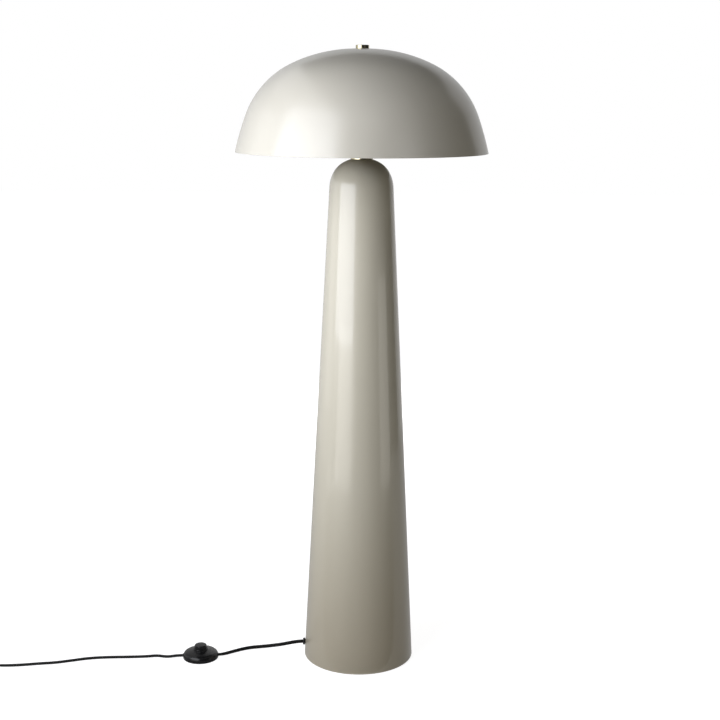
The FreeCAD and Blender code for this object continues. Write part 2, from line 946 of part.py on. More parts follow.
def switch_cover():
    inside = switch_radius - switch_wall
    bore = button_radius + running_clearance
    skirt = Vector(switch_radius, 0, switch_skirt_top)
    shoulder = Vector(switch_collar_radius, 0, switch_dome_top)
    ceiling = Vector(switch_ceiling_radius, 0, switch_ceiling)
    inner_skirt = Vector(inside, 0, switch_skirt_top)
    edge = switch_edge_round
    top = switch_collar_top
    lip = switch_collar_round
    outer = dome_edges(skirt, shoulder, switch_dome_slope)
    corner = [
        line(Vector(switch_radius - edge, 0, switch_foot), Vector(switch_radius, 0, switch_foot + edge)),
        line(Vector(switch_radius, 0, switch_foot + edge), skirt),
    ]
    collar = [
        line(shoulder, Vector(switch_collar_radius, 0, top - lip)),
        line(Vector(switch_collar_radius, 0, top - lip), Vector(switch_collar_radius - lip, 0, top)),
    ]
    axis_top = Vector(0, 0, top)
    axis_foot = Vector(0, 0, switch_foot)
    filled_loop = corner + outer + collar + [
        line(Vector(switch_collar_radius - lip, 0, top), axis_top),
        line(axis_top, axis_foot),
        line(axis_foot, Vector(switch_radius - edge, 0, switch_foot)),
    ]
    filled = Part.Face(Part.Wire(Part.__sortEdges__(filled_loop))).revolve(origin, axis, 360)
    hollow_loop = dome_edges(inner_skirt, ceiling, switch_dome_slope) + [
        line(ceiling, Vector(0, 0, switch_ceiling)),
        line(Vector(0, 0, switch_ceiling), Vector(0, 0, switch_foot - 1)),
        line(Vector(0, 0, switch_foot - 1), Vector(inside, 0, switch_foot - 1)),
        line(Vector(inside, 0, switch_foot - 1), inner_skirt),
    ]
    hollow = Part.Face(Part.Wire(Part.__sortEdges__(hollow_loop))).revolve(origin, axis, 360)
    body = filled.cut(hollow)
    for x, y in around(2, switch_screw_circle, 90.0):
        post = cylinder(switch_boss_radius, plate_top + 0.1, top, x, y).common(filled)
        body = body.fuse(post)
    for x, y in around(2, switch_screw_circle, 90.0):
        pilot = cylinder(
            switch_screw_radius + thread_clearance,
            switch_foot,
            switch_foot + switch_screw_length + 0.5,
            x,
            y,
        )
        body = body.cut(pilot)
    body = body.cut(cylinder(bore, switch_foot, top + 1))
    notch = Part.makeCylinder(
        cord_radius + switch_cord_clearance,
        2 * switch_radius + 4,
        Vector(-switch_radius - 2, 0, switch_cord_height),
        Vector(1, 0, 0),
    )
    return body.cut(notch).removeSplitter()


def switch_base():
    body = cylinder(switch_radius - switch_wall - switch_plate_fit, switch_foot, plate_top)
    for x, y in around(2, switch_screw_circle, 90.0):
        body = body.cut(switch_screw_hole(x, y, screw_clearance))
    return body


def switch_screw_hole(x, y, clearance):
    head = Part.makeCone(
        switch_screw_head_radius + clearance,
        switch_screw_radius + clearance,
        switch_plate,
        Vector(x, y, switch_foot),
        axis,
    )
    shank = cylinder(switch_screw_radius + clearance, switch_foot, switch_foot + switch_screw_length, x, y)
    return head.fuse(shank)


def switch_screws():
    return Part.makeCompound(
        [switch_screw_hole(x, y, 0.0).removeSplitter() for x, y in around(2, switch_screw_circle, 90.0)]
    )


def switch_feet():
    centres = around(switch_foot_count, switch_foot_circle, 45.0)
    return Part.makeCompound([cylinder(switch_foot_radius, 0.0, switch_foot, x, y) for x, y in centres])


def switch_carrier():
    plate = box(carrier_length, carrier_width, carrier_thickness, 0, 0, plate_top)
    post = cylinder(carrier_post_radius, carrier_top - 0.5, carrier_post_top)
    return plate.fuse(post).removeSplitter()


def switch_terminals():
    width, depth, height = terminal_block
    blocks = []
    for side in (-1, 1):
        block = box(width, depth, height, side * terminal_block_x, terminal_block_y, carrier_top)
        screw = cylinder(1.6, carrier_top + height, carrier_top + height + 1.0, side * terminal_block_x, terminal_block_y)
        blocks.append(block.fuse(screw).removeSplitter())
    return Part.makeCompound(blocks)


def switch_clamps():
    width, depth, height = clamp_block
    return Part.makeCompound(
        [box(width, depth, height, side * clamp_place, 0, clamp_bottom) for side in (-1, 1)]
    )


def switch_button():
    edge = button_round
    crown = button_top - button_crown
    side = crown - edge
    diagonal = edge * (1 - math.sin(radians(45)))
    rim = button_radius - edge
    dome = (rim ** 2 + button_crown ** 2) / (2 * button_crown)
    body = turned([
        (0.0, button_roof_height),
        (button_bore, button_roof_height),
        (button_bore, button_flange_top - button_flange),
        (button_flange_radius, button_flange_top - button_flange),
        (button_flange_radius, button_flange_top),
        (button_radius, button_flange_top),
        (button_radius, side),
        (button_radius - diagonal, crown - diagonal, rim, crown),
        (rim / 2, button_top - drop_on_arc(dome, rim / 2), 0.0, button_top),
    ])
    plunger = cylinder(plunger_radius, plunger_bottom, button_roof_height + 1)
    return body.fuse(plunger).removeSplitter()


def switch_spring():
    """Compression spring: half turns of rising arcs between the carrier and the button's roof."""
    bottom = carrier_top + spring_wire_radius + spring_end_gap
    top = button_roof_height - spring_wire_radius - spring_end_gap
    rise = (top - bottom) / spring_half_turns
    heading = Vector(0, math.pi * spring_radius, rise).normalize()
    back = Vector(0, -math.pi * spring_radius, rise).normalize()
    edges = []
    for k in range(spring_half_turns):
        side = 1 if k % 2 == 0 else -1
        start = Vector(side * spring_radius, 0, bottom + k * rise)
        end = Vector(-side * spring_radius, 0, bottom + (k + 1) * rise)
        first, last = (heading, back) if side > 0 else (back, heading)
        edges += biarc(start, first, end, last)
    return tube(edges, spring_wire_radius)


# ---- cords, coil, tie and plug ------------------------------------------------------------------

def lamp_cord():
    start = (-bushing_face, 0.0, cord_hole_height)
    inside = floor_point(switch_radius - switch_cord_inside, 0.0, switch_cord_height)
    return route("lamp_cord", [start] + lamp_cord_points + [inside])


def mains_cord():
    inside = floor_point(switch_cord_inside - switch_radius, 0.0, switch_cord_height)
    end = (coil_centre_x + cord_diameter, coil_centre_y + coil_outer_radius, coil_low)
    return route("mains_cord", [inside] + mains_cord_points + [end])


def inner_cord():
    start = (-bushing_tail, 0.0, cord_hole_height)
    end = (0.0, 0.0, core_bottom)
    low = inner_cord_points[-1][2]
    high = nipple_bottom - 2 * cord_diameter
    hanging = []
    for k in range(1, inner_cord_runs):
        sway = inner_cord_sway if k % 2 else -inner_cord_sway
        hanging.append((0.4 * sway, sway, low + (high - low) * k / inner_cord_runs))
    top = [(0.2, -0.5, high), (0.0, 0.0, nipple_top - nipple_tail)]
    return route("inner_cord", [start] + inner_cord_points + hanging + top + [end])


def coil_radii():
    """Radius at each half turn: in, a wider step while it climbs, and out again."""
    radii = [coil_outer_radius - k * coil_pitch / 2 for k in range(coil_turns_in + 1)]
    radii.append(radii[-1] - coil_reverse_in * coil_pitch)
    radii.append(radii[-1] + coil_reverse_out * coil_pitch)
    for _ in range(coil_turns_out - 1):
        radii.append(radii[-1] + coil_pitch / 2)
    return radii


def coil_path():
    """Half turns of two quarter arcs, the first at the back and heading left."""
    lead = Vector(-cord_diameter, 0, 0)
    points = []
    for k, radius in enumerate(coil_radii()):
        side = 1 if k % 2 == 0 else -1
        height = coil_low if k <= coil_turns_in else coil_high
        points.append(Vector(coil_centre_x, coil_centre_y + side * radius, height))
    edges = [line(points[0] - lead, points[0])]
    for k in range(len(points) - 1):
        heading = Vector(-1 if k % 2 == 0 else 1, 0, 0)
        edges += biarc(points[k], heading, points[k + 1], heading * -1)
    edges.append(line(points[-1], points[-1] + lead))
    return edges


def least_gap(edges, radius, step=2.0):
    """Least distance of a coiled tube's surface to its own other turns, on sampled points."""
    samples = []
    length = 0.0
    for edge in edges:
        count = max(2, int(edge.Length / step))
        for k in range(count):
            spot = edge.valueAt(edge.FirstParameter + (edge.LastParameter - edge.FirstParameter) * k / count)
            samples.append((length + edge.Length * k / count, spot))
        length += edge.Length
    least = 1e9
    for n, (at_one, one) in enumerate(samples):
        for at_two, two in samples[n + 1:]:
            if at_two - at_one > 12 * radius:
                least = min(least, (one - two).Length)
    return least - 2 * radius


def cord_coil():
    edges = coil_path()
    length = sum(e.Length for e in edges)
    print("cord_coil length", round(length, 1), "least gap", round(least_gap(edges, cord_radius), 2))
    return tube(edges, cord_radius)


def rounded_bar(low_y, high_y, low_z, high_z, corner, left, width):
    """Bar along X with rounded corners in the YZ plane."""
    diagonal = corner * (1 - math.sin(radians(45)))
    y_in, y_out = low_y + corner, high_y - corner
    z_in, z_out = low_z + corner, high_z - corner

    def at(y, z):
        return Vector(left, y, z)

    edges = [
        line(at(y_in, low_z), at(y_out, low_z)),
        arc(at(y_out, low_z), at(high_y - diagonal, low_z + diagonal), at(high_y, z_in)),
        line(at(high_y, z_in), at(high_y, z_out)),
        arc(at(high_y, z_out), at(high_y - diagonal, high_z - diagonal), at(y_out, high_z)),
        line(at(y_out, high_z), at(y_in, high_z)),
        arc(at(y_in, high_z), at(low_y + diagonal, high_z - diagonal), at(low_y, z_out)),
        line(at(low_y, z_out), at(low_y, z_in)),
        arc(at(low_y, z_in), at(low_y + diagonal, low_z + diagonal), at(y_in, low_z)),
    ]
    return Part.Face(Part.Wire(edges)).extrude(Vector(width, 0, 0))


def cord_tie():
    """Strap round the turns at the coil's front."""
    front = coil_radii()[1::2]
    sag = drop_on_arc(min(front) - cord_radius, tie_width / 2)
    near = coil_centre_y - max(front) - cord_radius - tie_slack
    far = coil_centre_y - min(front) + cord_radius + tie_slack + sag
    low = tie_thickness
    high = coil_high + cord_radius + tie_slack
    corner = cord_radius
    left = coil_centre_x - tie_width / 2
    outer = rounded_bar(
        near - tie_thickness,
        far + tie_thickness,
        0.0,
        high + tie_thickness,
        corner + tie_thickness,
        left,
        tie_width,
    )
    inner = rounded_bar(near, far, low, high, corner, left - 1, tie_width + 2)
    return outer.cut(inner)


def plug_axis():
    """Where the cord meets the plug's strain relief."""
    return Vector(
        coil_centre_x - cord_diameter, coil_centre_y + coil_radii()[-1], coil_high
    )


def plug_relief():
    """Tapered strain relief with grooves between its ribs."""
    step = plug_relief_length / (2 * plug_relief_ribs + 1)

    def radius_at(distance):
        share = distance / plug_relief_length
        return plug_relief_thin + (plug_relief_thick - plug_relief_thin) * share

    stops = [(0.0, 0.0), (plug_relief_thin, 0.0)]
    for k in range(plug_relief_ribs):
        groove = (2 * k + 1) * step
        after = groove + step
        stops.append((radius_at(groove), groove))
        stops.append((radius_at(groove) - plug_relief_groove, groove))
        stops.append((radius_at(after) - plug_relief_groove, after))
        stops.append((radius_at(after), after))
    stops.append((plug_relief_thick, plug_relief_length))
    stops.append((0.0, plug_relief_length))
    body = turned(stops)
    body.Placement = Placement(plug_axis(), Rotation(Vector(0, 1, 0), -90))
    return body


def plug_body():
    """Moulded body that widens from the cord to the face with the blades, lying flat."""
    start = plug_axis() - Vector(plug_relief_length, 0, 0)
    half_face = plug_width / 2
    half_neck = plug_neck_width / 2

    def at(along, across):
        return Vector(start.x - along, start.y + across, 0)

    flare = [Vector(-1, 0.9, 0).normalize(), Vector(-1, 0, 0)]
    upper = biarc(at(0, half_neck), flare[0], at(plug_shoulder, half_face), flare[1])
    lower = biarc(at(plug_shoulder, -half_face), Vector(1, 0, 0), at(0, -half_neck), Vector(1, 0.9, 0).normalize())
    edges = [line(at(0, -half_neck), at(0, half_neck))] + upper + [
        line(at(plug_shoulder, half_face), at(plug_length, half_face)),
        line(at(plug_length, half_face), at(plug_length, -half_face)),
        line(at(plug_length, -half_face), at(plug_shoulder, -half_face)),
    ] + lower
    body = Part.Face(Part.Wire(edges)).extrude(Vector(0, 0, 2 * coil_high))
    rims = [e for e in body.Edges if abs(e.Vertexes[0].Z - e.Vertexes[-1].Z) < 1e-6]
    front = [e for e in rims if start.x - plug_length + 1e-3 < e.CenterOfMass.x < start.x - 1e-3]
    return body.makeFillet(plug_round, front)


def plug_blades():
    start = plug_axis() - Vector(plug_relief_length + plug_length, 0, 0)
    blades = []
    for side in (-1, 1):
        middle = start.y + side * blade_spacing / 2
        blade = box(
            blade_length,
            blade_thickness,
            blade_width,
            start.x - blade_length / 2,
            middle,
            start.z - blade_width / 2,
        )
        hole = Part.makeCylinder(
            blade_hole_radius,
            blade_thickness + 2,
            Vector(start.x - blade_length + blade_hole_inset, middle - blade_thickness / 2 - 1, start.z),
            Vector(0, 1, 0),
        )
        blades.append(blade.cut(hole))
    return Part.makeCompound(blades)


# ---- every node ---------------------------------------------------------------------------------

parts["column_shell"] = column_shell()
parts["base_ring"] = base_ring()
parts["base_weight"] = base_weight()
parts["base_screws"] = base_screws()
parts["base_pad"] = base_pad()
parts["cord_bushing"] = cord_bushing()
parts["top_nipple"] = top_nipple()
parts["nipple_washer"] = nipple_washer()
parts["nipple_nut"] = nipple_nut()
parts["neck_cup"] = neck_cup()
parts["harp_saddle"] = harp_saddle()
parts["harp_bow"] = harp_bow()
parts["harp_sleeve_left"] = harp_sleeve(-1)
parts["harp_sleeve_right"] = harp_sleeve(1)
parts["socket_cap"] = socket_cap()
parts["socket_shell"] = socket_shell()
parts["socket_liner"] = socket_liner()
parts["socket_core"] = socket_core()
parts["socket_screw_shell"] = socket_screw_shell()
parts["socket_contact"] = socket_contact()
parts["socket_terminals"] = socket_terminals()
parts["bulb_tip"] = bulb_tip()
parts["bulb_insulator"] = bulb_insulator()
parts["bulb_cap"] = bulb_cap()
parts["bulb_glass"] = bulb_glass()
parts["shade_shell"] = shade_shell()
parts["swivel_stud"] = swivel_stud()
parts["finial"] = finial()
parts["inner_cord"] = inner_cord()
parts["lamp_cord"] = lamp_cord()
parts["mains_cord"] = mains_cord()
parts["cord_coil"] = cord_coil()
parts["cord_tie"] = cord_tie()
parts["plug_relief"] = plug_relief()
parts["plug_body"] = plug_body()
parts["plug_blades"] = plug_blades()
for make_piece in (
    switch_base,
    switch_cover,
    switch_button,
    switch_carrier,
    switch_terminals,
    switch_clamps,
    switch_screws,
    switch_feet,
    switch_spring,
):
    parts[make_piece.__name__] = on_floor(make_piece())

os.makedirs("parts", exist_ok=True)
for name, shape in parts.items():
    shape.exportStep("parts/" + name + ".step")
print(len(parts), "nodes, shade top", round(shade_top, 1), "height", round(finial_bottom + finial_height, 1))
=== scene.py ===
import json
import math

import bmesh
import bpy
from mathutils import Matrix, Vector

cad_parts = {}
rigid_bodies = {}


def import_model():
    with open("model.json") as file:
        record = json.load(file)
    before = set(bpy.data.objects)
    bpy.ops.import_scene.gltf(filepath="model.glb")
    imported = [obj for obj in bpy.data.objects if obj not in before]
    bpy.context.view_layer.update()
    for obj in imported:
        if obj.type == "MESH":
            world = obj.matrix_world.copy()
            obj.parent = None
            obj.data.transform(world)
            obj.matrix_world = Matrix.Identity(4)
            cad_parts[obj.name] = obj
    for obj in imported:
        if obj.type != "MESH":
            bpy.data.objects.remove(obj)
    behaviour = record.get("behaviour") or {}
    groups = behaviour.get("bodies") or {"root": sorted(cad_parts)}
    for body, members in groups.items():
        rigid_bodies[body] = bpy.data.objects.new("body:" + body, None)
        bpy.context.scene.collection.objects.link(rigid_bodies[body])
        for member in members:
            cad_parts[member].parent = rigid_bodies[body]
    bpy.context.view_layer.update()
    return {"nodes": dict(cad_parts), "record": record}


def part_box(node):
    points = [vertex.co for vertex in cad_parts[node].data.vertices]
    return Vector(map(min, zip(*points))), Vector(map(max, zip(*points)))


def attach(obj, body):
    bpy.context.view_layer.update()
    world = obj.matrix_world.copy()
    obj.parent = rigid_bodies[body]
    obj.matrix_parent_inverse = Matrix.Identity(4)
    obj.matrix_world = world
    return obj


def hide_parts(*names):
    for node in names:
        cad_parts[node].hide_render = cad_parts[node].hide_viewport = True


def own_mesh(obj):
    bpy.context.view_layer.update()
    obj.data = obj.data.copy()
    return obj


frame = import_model()
cadNodes = frame["nodes"]
print("frame:", len(cadNodes), "nodes")

mm = 0.001


def addObject(name, data):
    item = bpy.data.objects.new(name, data)
    bpy.context.scene.collection.objects.link(item)
    return item


def meshObject(name, bm):
    mesh = bpy.data.meshes.new(name)
    bm.to_mesh(mesh)
    bm.free()
    return addObject(name, mesh)


# the camera stands where the photograph's stood
cameraSetup = {
    "distance": 2.37907,
    "height": 1.07572,
    "tiltDown": 11.625,
    "roll": 0.40,
    "focalPixels": 1292.3,
    "framePixels": 720,
    "axisPixels": (0.25, 0.35),
}


def addCamera():
    view = bpy.data.cameras.new("photoCamera")
    view.sensor_width = 36.0
    view.lens = view.sensor_width * cameraSetup["focalPixels"] / cameraSetup["framePixels"]
    view.shift_x = -cameraSetup["axisPixels"][0] / cameraSetup["framePixels"]
    view.shift_y = cameraSetup["axisPixels"][1] / cameraSetup["framePixels"]
    view.clip_start, view.clip_end = 0.05, 60.0
    camera = addObject("photoCamera", view)
    aim = Matrix.Rotation(math.radians(90 - cameraSetup["tiltDown"]), 3, "X")
    camera.rotation_euler = (aim @ Matrix.Rotation(math.radians(cameraSetup["roll"]), 3, "Z")).to_euler()
    camera.location = (0, -cameraSetup["distance"], cameraSetup["height"])
    bpy.context.scene.camera = camera


addCamera()
print("camera placed")


def setInputs(node, values):
    for label, value in values.items():
        node.inputs[label].default_value = value


# node groups that several finishes share
def startGroup(name, inputs, outputs):
    group = bpy.data.node_groups.new(name, "ShaderNodeTree")
    for label, value in inputs.items():
        kind = "NodeSocketColor" if isinstance(value, tuple) else "NodeSocketFloat"
        group.interface.new_socket(name=label, in_out="INPUT", socket_type=kind).default_value = value
    for label in outputs:
        kind = "NodeSocketColor" if label == "Color" else "NodeSocketFloat"
        group.interface.new_socket(name=label, in_out="OUTPUT", socket_type=kind)
    return group, group.nodes.new("NodeGroupInput").outputs, group.nodes.new("NodeGroupOutput").inputs


def objectPlace(tree):
    return tree.nodes.new("ShaderNodeTexCoord").outputs["Object"]


def splitNode(tree, vector):
    node = tree.nodes.new("ShaderNodeSeparateXYZ")
    tree.links.new(vector, node.inputs[0])
    return node.outputs


def mathNode(tree, operation, first, second):
    node = tree.nodes.new("ShaderNodeMath")
    node.operation = operation
    for socket, value in zip(node.inputs, (first, second)):
        if isinstance(value, (int, float)):
            socket.default_value = value
        else:
            tree.links.new(value, socket)
    return node.outputs[0]


def vectorNode(tree, operation, vector):
    node = tree.nodes.new("ShaderNodeVectorMath")
    node.operation = operation
    tree.links.new(vector, node.inputs[0])
    return node


def scaledTone(tree, color, level):
    node = vectorNode(tree, "SCALE", color)
    tree.links.new(level, node.inputs["Scale"])
    return node.outputs[0]


def noiseNode(tree, vector, scale, detail=2.0, roughness=0.5):
    node = tree.nodes.new("ShaderNodeTexNoise")
    setInputs(node, {"Detail": detail, "Roughness": roughness})
    tree.links.new(vector, node.inputs["Vector"])
    if isinstance(scale, (int, float)):
        node.inputs["Scale"].default_value = scale
    else:
        tree.links.new(scale, node.inputs["Scale"])
    return node.outputs["Fac"]


def makeSkinGroup():
    # sprayed or moulded skin: a soft ripple with finer grain on it
    group, source, sink = startGroup(
        "skinTexture", {"Ripple": 700.0, "Grain": 2600.0, "Grain share": 0.3}, ["Height"],
    )
    place = objectPlace(group)
    ripple = noiseNode(group, place, source["Ripple"], 1.0)
    grain = noiseNode(group, place, source["Grain"], 2.0)
    fine = mathNode(group, "MULTIPLY", grain, source["Grain share"])
    group.links.new(mathNode(group, "ADD", ripple, fine), sink["Height"])
    return group


def makeDriftGroup():
    # slow change of tone over a surface, as real finishes have
    group, source, sink = startGroup(
        "toneDrift", {"Color": (0.5, 0.5, 0.5, 1.0), "Scale": 6.0, "Amount": 0.05}, ["Color", "Value"],
    )
    cloud = noiseNode(group, objectPlace(group), source["Scale"], 3.0, 0.6)
    swing = mathNode(group, "MULTIPLY", mathNode(group, "SUBTRACT", cloud, 0.5), source["Amount"])
    level = mathNode(group, "ADD", swing, 1.0)
    group.links.new(scaledTone(group, source["Color"], level), sink["Color"])
    group.links.new(cloud, sink["Value"])
    return group


def makeTurningGroup():
    # lathe marks: thin rings round the lamp's upright axis
    group, source, sink = startGroup("turningMarks", {"Rings": 2500.0}, ["Height"])
    place = splitNode(group, objectPlace(group))
    across = mathNode(group, "MULTIPLY", place["X"], place["X"])
    along = mathNode(group, "MULTIPLY", place["Y"], place["Y"])
    reach = mathNode(group, "SQRT", mathNode(group, "ADD", across, along), 0.0)
    ringPlace = group.nodes.new("ShaderNodeCombineXYZ")
    group.links.new(reach, ringPlace.inputs["X"])
    group.links.new(place["Z"], ringPlace.inputs["Z"])
    group.links.new(noiseNode(group, ringPlace.outputs[0], source["Rings"], 2.0), sink["Height"])
    return group


def makeStreakGroup():
    # faint streaks that run down a turned piece, as a spray gun's passes leave
    group, source, sink = startGroup("sprayStreaks", {"Around": 12.0, "Along": 1.2}, ["Value"])
    place = objectPlace(group)
    flat = vectorNode(group, "MULTIPLY", place)
    flat.inputs[1].default_value = (1, 1, 0)
    heading = vectorNode(group, "NORMALIZE", flat.outputs[0])
    around, upright = splitNode(group, heading.outputs[0]), splitNode(group, place)
    squeezed = group.nodes.new("ShaderNodeCombineXYZ")
    for axis, values, rate in (("X", around, "Around"), ("Y", around, "Around"), ("Z", upright, "Along")):
        group.links.new(mathNode(group, "MULTIPLY", values[axis], source[rate]), squeezed.inputs[axis])
    group.links.new(noiseNode(group, squeezed.outputs[0], 1.0, 2.0, 0.5), sink["Value"])
    return group


sharedGroups = {
    "skin": makeSkinGroup(),
    "drift": makeDriftGroup(),
    "turning": makeTurningGroup(),
    "streaks": makeStreakGroup(),
}


def placeGroup(tree, key, values):
    node = tree.nodes.new("ShaderNodeGroup")
    node.node_tree = sharedGroups[key]
    setInputs(node, values)
    return node.outputs


def driftTone(tree, color, look):
    values = {"Color": (*color, 1.0), "Scale": look["driftScale"], "Amount": look["drift"]}
    return placeGroup(tree, "drift", values)


def skinHeight(tree, look):
    values = {"Ripple": look["ripple"], "Grain": look["grain"], "Grain share": look["grainShare"]}
    return placeGroup(tree, "skin", values)["Height"]


def rangeNode(tree, value, low, high, start=0.3, end=0.7, fade="LINEAR"):
    node = tree.nodes.new("ShaderNodeMapRange")
    node.interpolation_type = fade
    tree.links.new(value, node.inputs["Value"])
    setInputs(node, {"From Min": start, "From Max": end, "To Min": low, "To Max": high})
    return node.outputs["Result"]


def bumpNode(tree, height, distance):
    node = tree.nodes.new("ShaderNodeBump")
    setInputs(node, {"Strength": 1.0, "Distance": distance})
    tree.links.new(height, node.inputs["Height"])
    return node.outputs["Normal"]


def startFinish(name):
    finish = bpy.data.materials.new(name)
    finish.use_nodes = True
    tree = finish.node_tree
    return finish, tree, tree.nodes["Principled BSDF"]


plainLook = {
    "drift": 0.06,
    "driftScale": 30.0,
    "ripple": 600.0,
    "grain": 2600.0,
    "grainShare": 0.3,
    "depth": 0.00003,
    "marks": "skin",
    "rings": 2500.0,
    "coat": 0.0,
    "coatRoughness": 0.1,
    "sheen": 0.0,
    "specular": 0.5,
}


def makeFinish(name, color, metallic, roughness, **changes):
    look = {**plainLook, **changes}
    finish, tree, shader = startFinish(name)
    tone = driftTone(tree, color, look)
    tree.links.new(tone["Color"], shader.inputs["Base Color"])
    if look["marks"] == "turning":
        height = wear = placeGroup(tree, "turning", {"Rings": look["rings"]})["Height"]
    else:
        height, wear = skinHeight(tree, look), tone["Value"]
    tree.links.new(bumpNode(tree, height, look["depth"]), shader.inputs["Normal"])
    tree.links.new(rangeNode(tree, wear, *roughness), shader.inputs["Roughness"])
    setInputs(shader, {
        "Metallic": metallic,
        "Coat Weight": look["coat"],
        "Coat Roughness": look["coatRoughness"],
        "Sheen Weight": look["sheen"],
        "Specular IOR Level": look["specular"],
    })
    return finish


lacquerLook = {
    "color": (0.558, 0.526, 0.430),
    # painted highlight: the shade's copy of the same lacquer is a little greyer and bluer, standing in for
    # the whiter highlights that light gives the shade
    "shadeColor": (0.551, 0.525, 0.452),
    "drift": 0.02,
    "driftScale": 1.6,
    "specular": 0.4,
    "coat": 0.6,
    "coatRoughness": 0.07,
    "shadeCoatRoughness": 0.2,
    "roughness": (0.285, 0.305),
    "streaksAround": 9.0,
    "streaksAlong": 0.9,
    "streakAmount": 0.006,
    # painted shade near the floor: its tone, how much of it, and up to what height
    "paintedShadeTone": (0.42, 0.365, 0.27),
    "paintedShadeShare": 0.62,
    "paintedShadeHeight": 0.36,
    "ripple": 420.0,
    "grain": 5200.0,
    "grainShare": 0.35,
    "depth": 0.000018,
}


def makeLacquer(name, colorKey, coatKey):
    finish, tree, shader = startFinish(name)
    look = lacquerLook
    streaks = placeGroup(tree, "streaks", {"Around": look["streaksAround"], "Along": look["streaksAlong"]})
    tone = driftTone(tree, look[colorKey], look)
    swing = look["streakAmount"] / 2
    level = rangeNode(tree, streaks["Value"], 1 - swing, 1 + swing)
    # painted shade: the lacquer's colour is mixed towards a darker, warmer tone near the floor, standing
    # in for the light that falls off there
    height = splitNode(tree, objectPlace(tree))["Z"]
    paintedShadeMix = tree.nodes.new("ShaderNodeMix")
    paintedShadeMix.data_type = "RGBA"
    paintedShadeFactor = rangeNode(tree, height, look["paintedShadeShare"], 0.0, 0.0, look["paintedShadeHeight"])
    tree.links.new(paintedShadeFactor, paintedShadeMix.inputs["Factor"])
    colorA, colorB = paintedShadeMix.inputs[6], paintedShadeMix.inputs[7]
    tree.links.new(scaledTone(tree, tone["Color"], level), colorA)
    colorB.default_value = (*look["paintedShadeTone"], 1)
    tree.links.new(paintedShadeMix.outputs[2], shader.inputs["Base Color"])
    tree.links.new(rangeNode(tree, tone["Value"], *look["roughness"]), shader.inputs["Roughness"])
    tree.links.new(bumpNode(tree, skinHeight(tree, look), look["depth"]), shader.inputs["Normal"])
    setInputs(shader, {
        "Specular IOR Level": look["specular"],
        "Coat Weight": look["coat"],
        "Coat Roughness": look[coatKey],
    })
    return finish


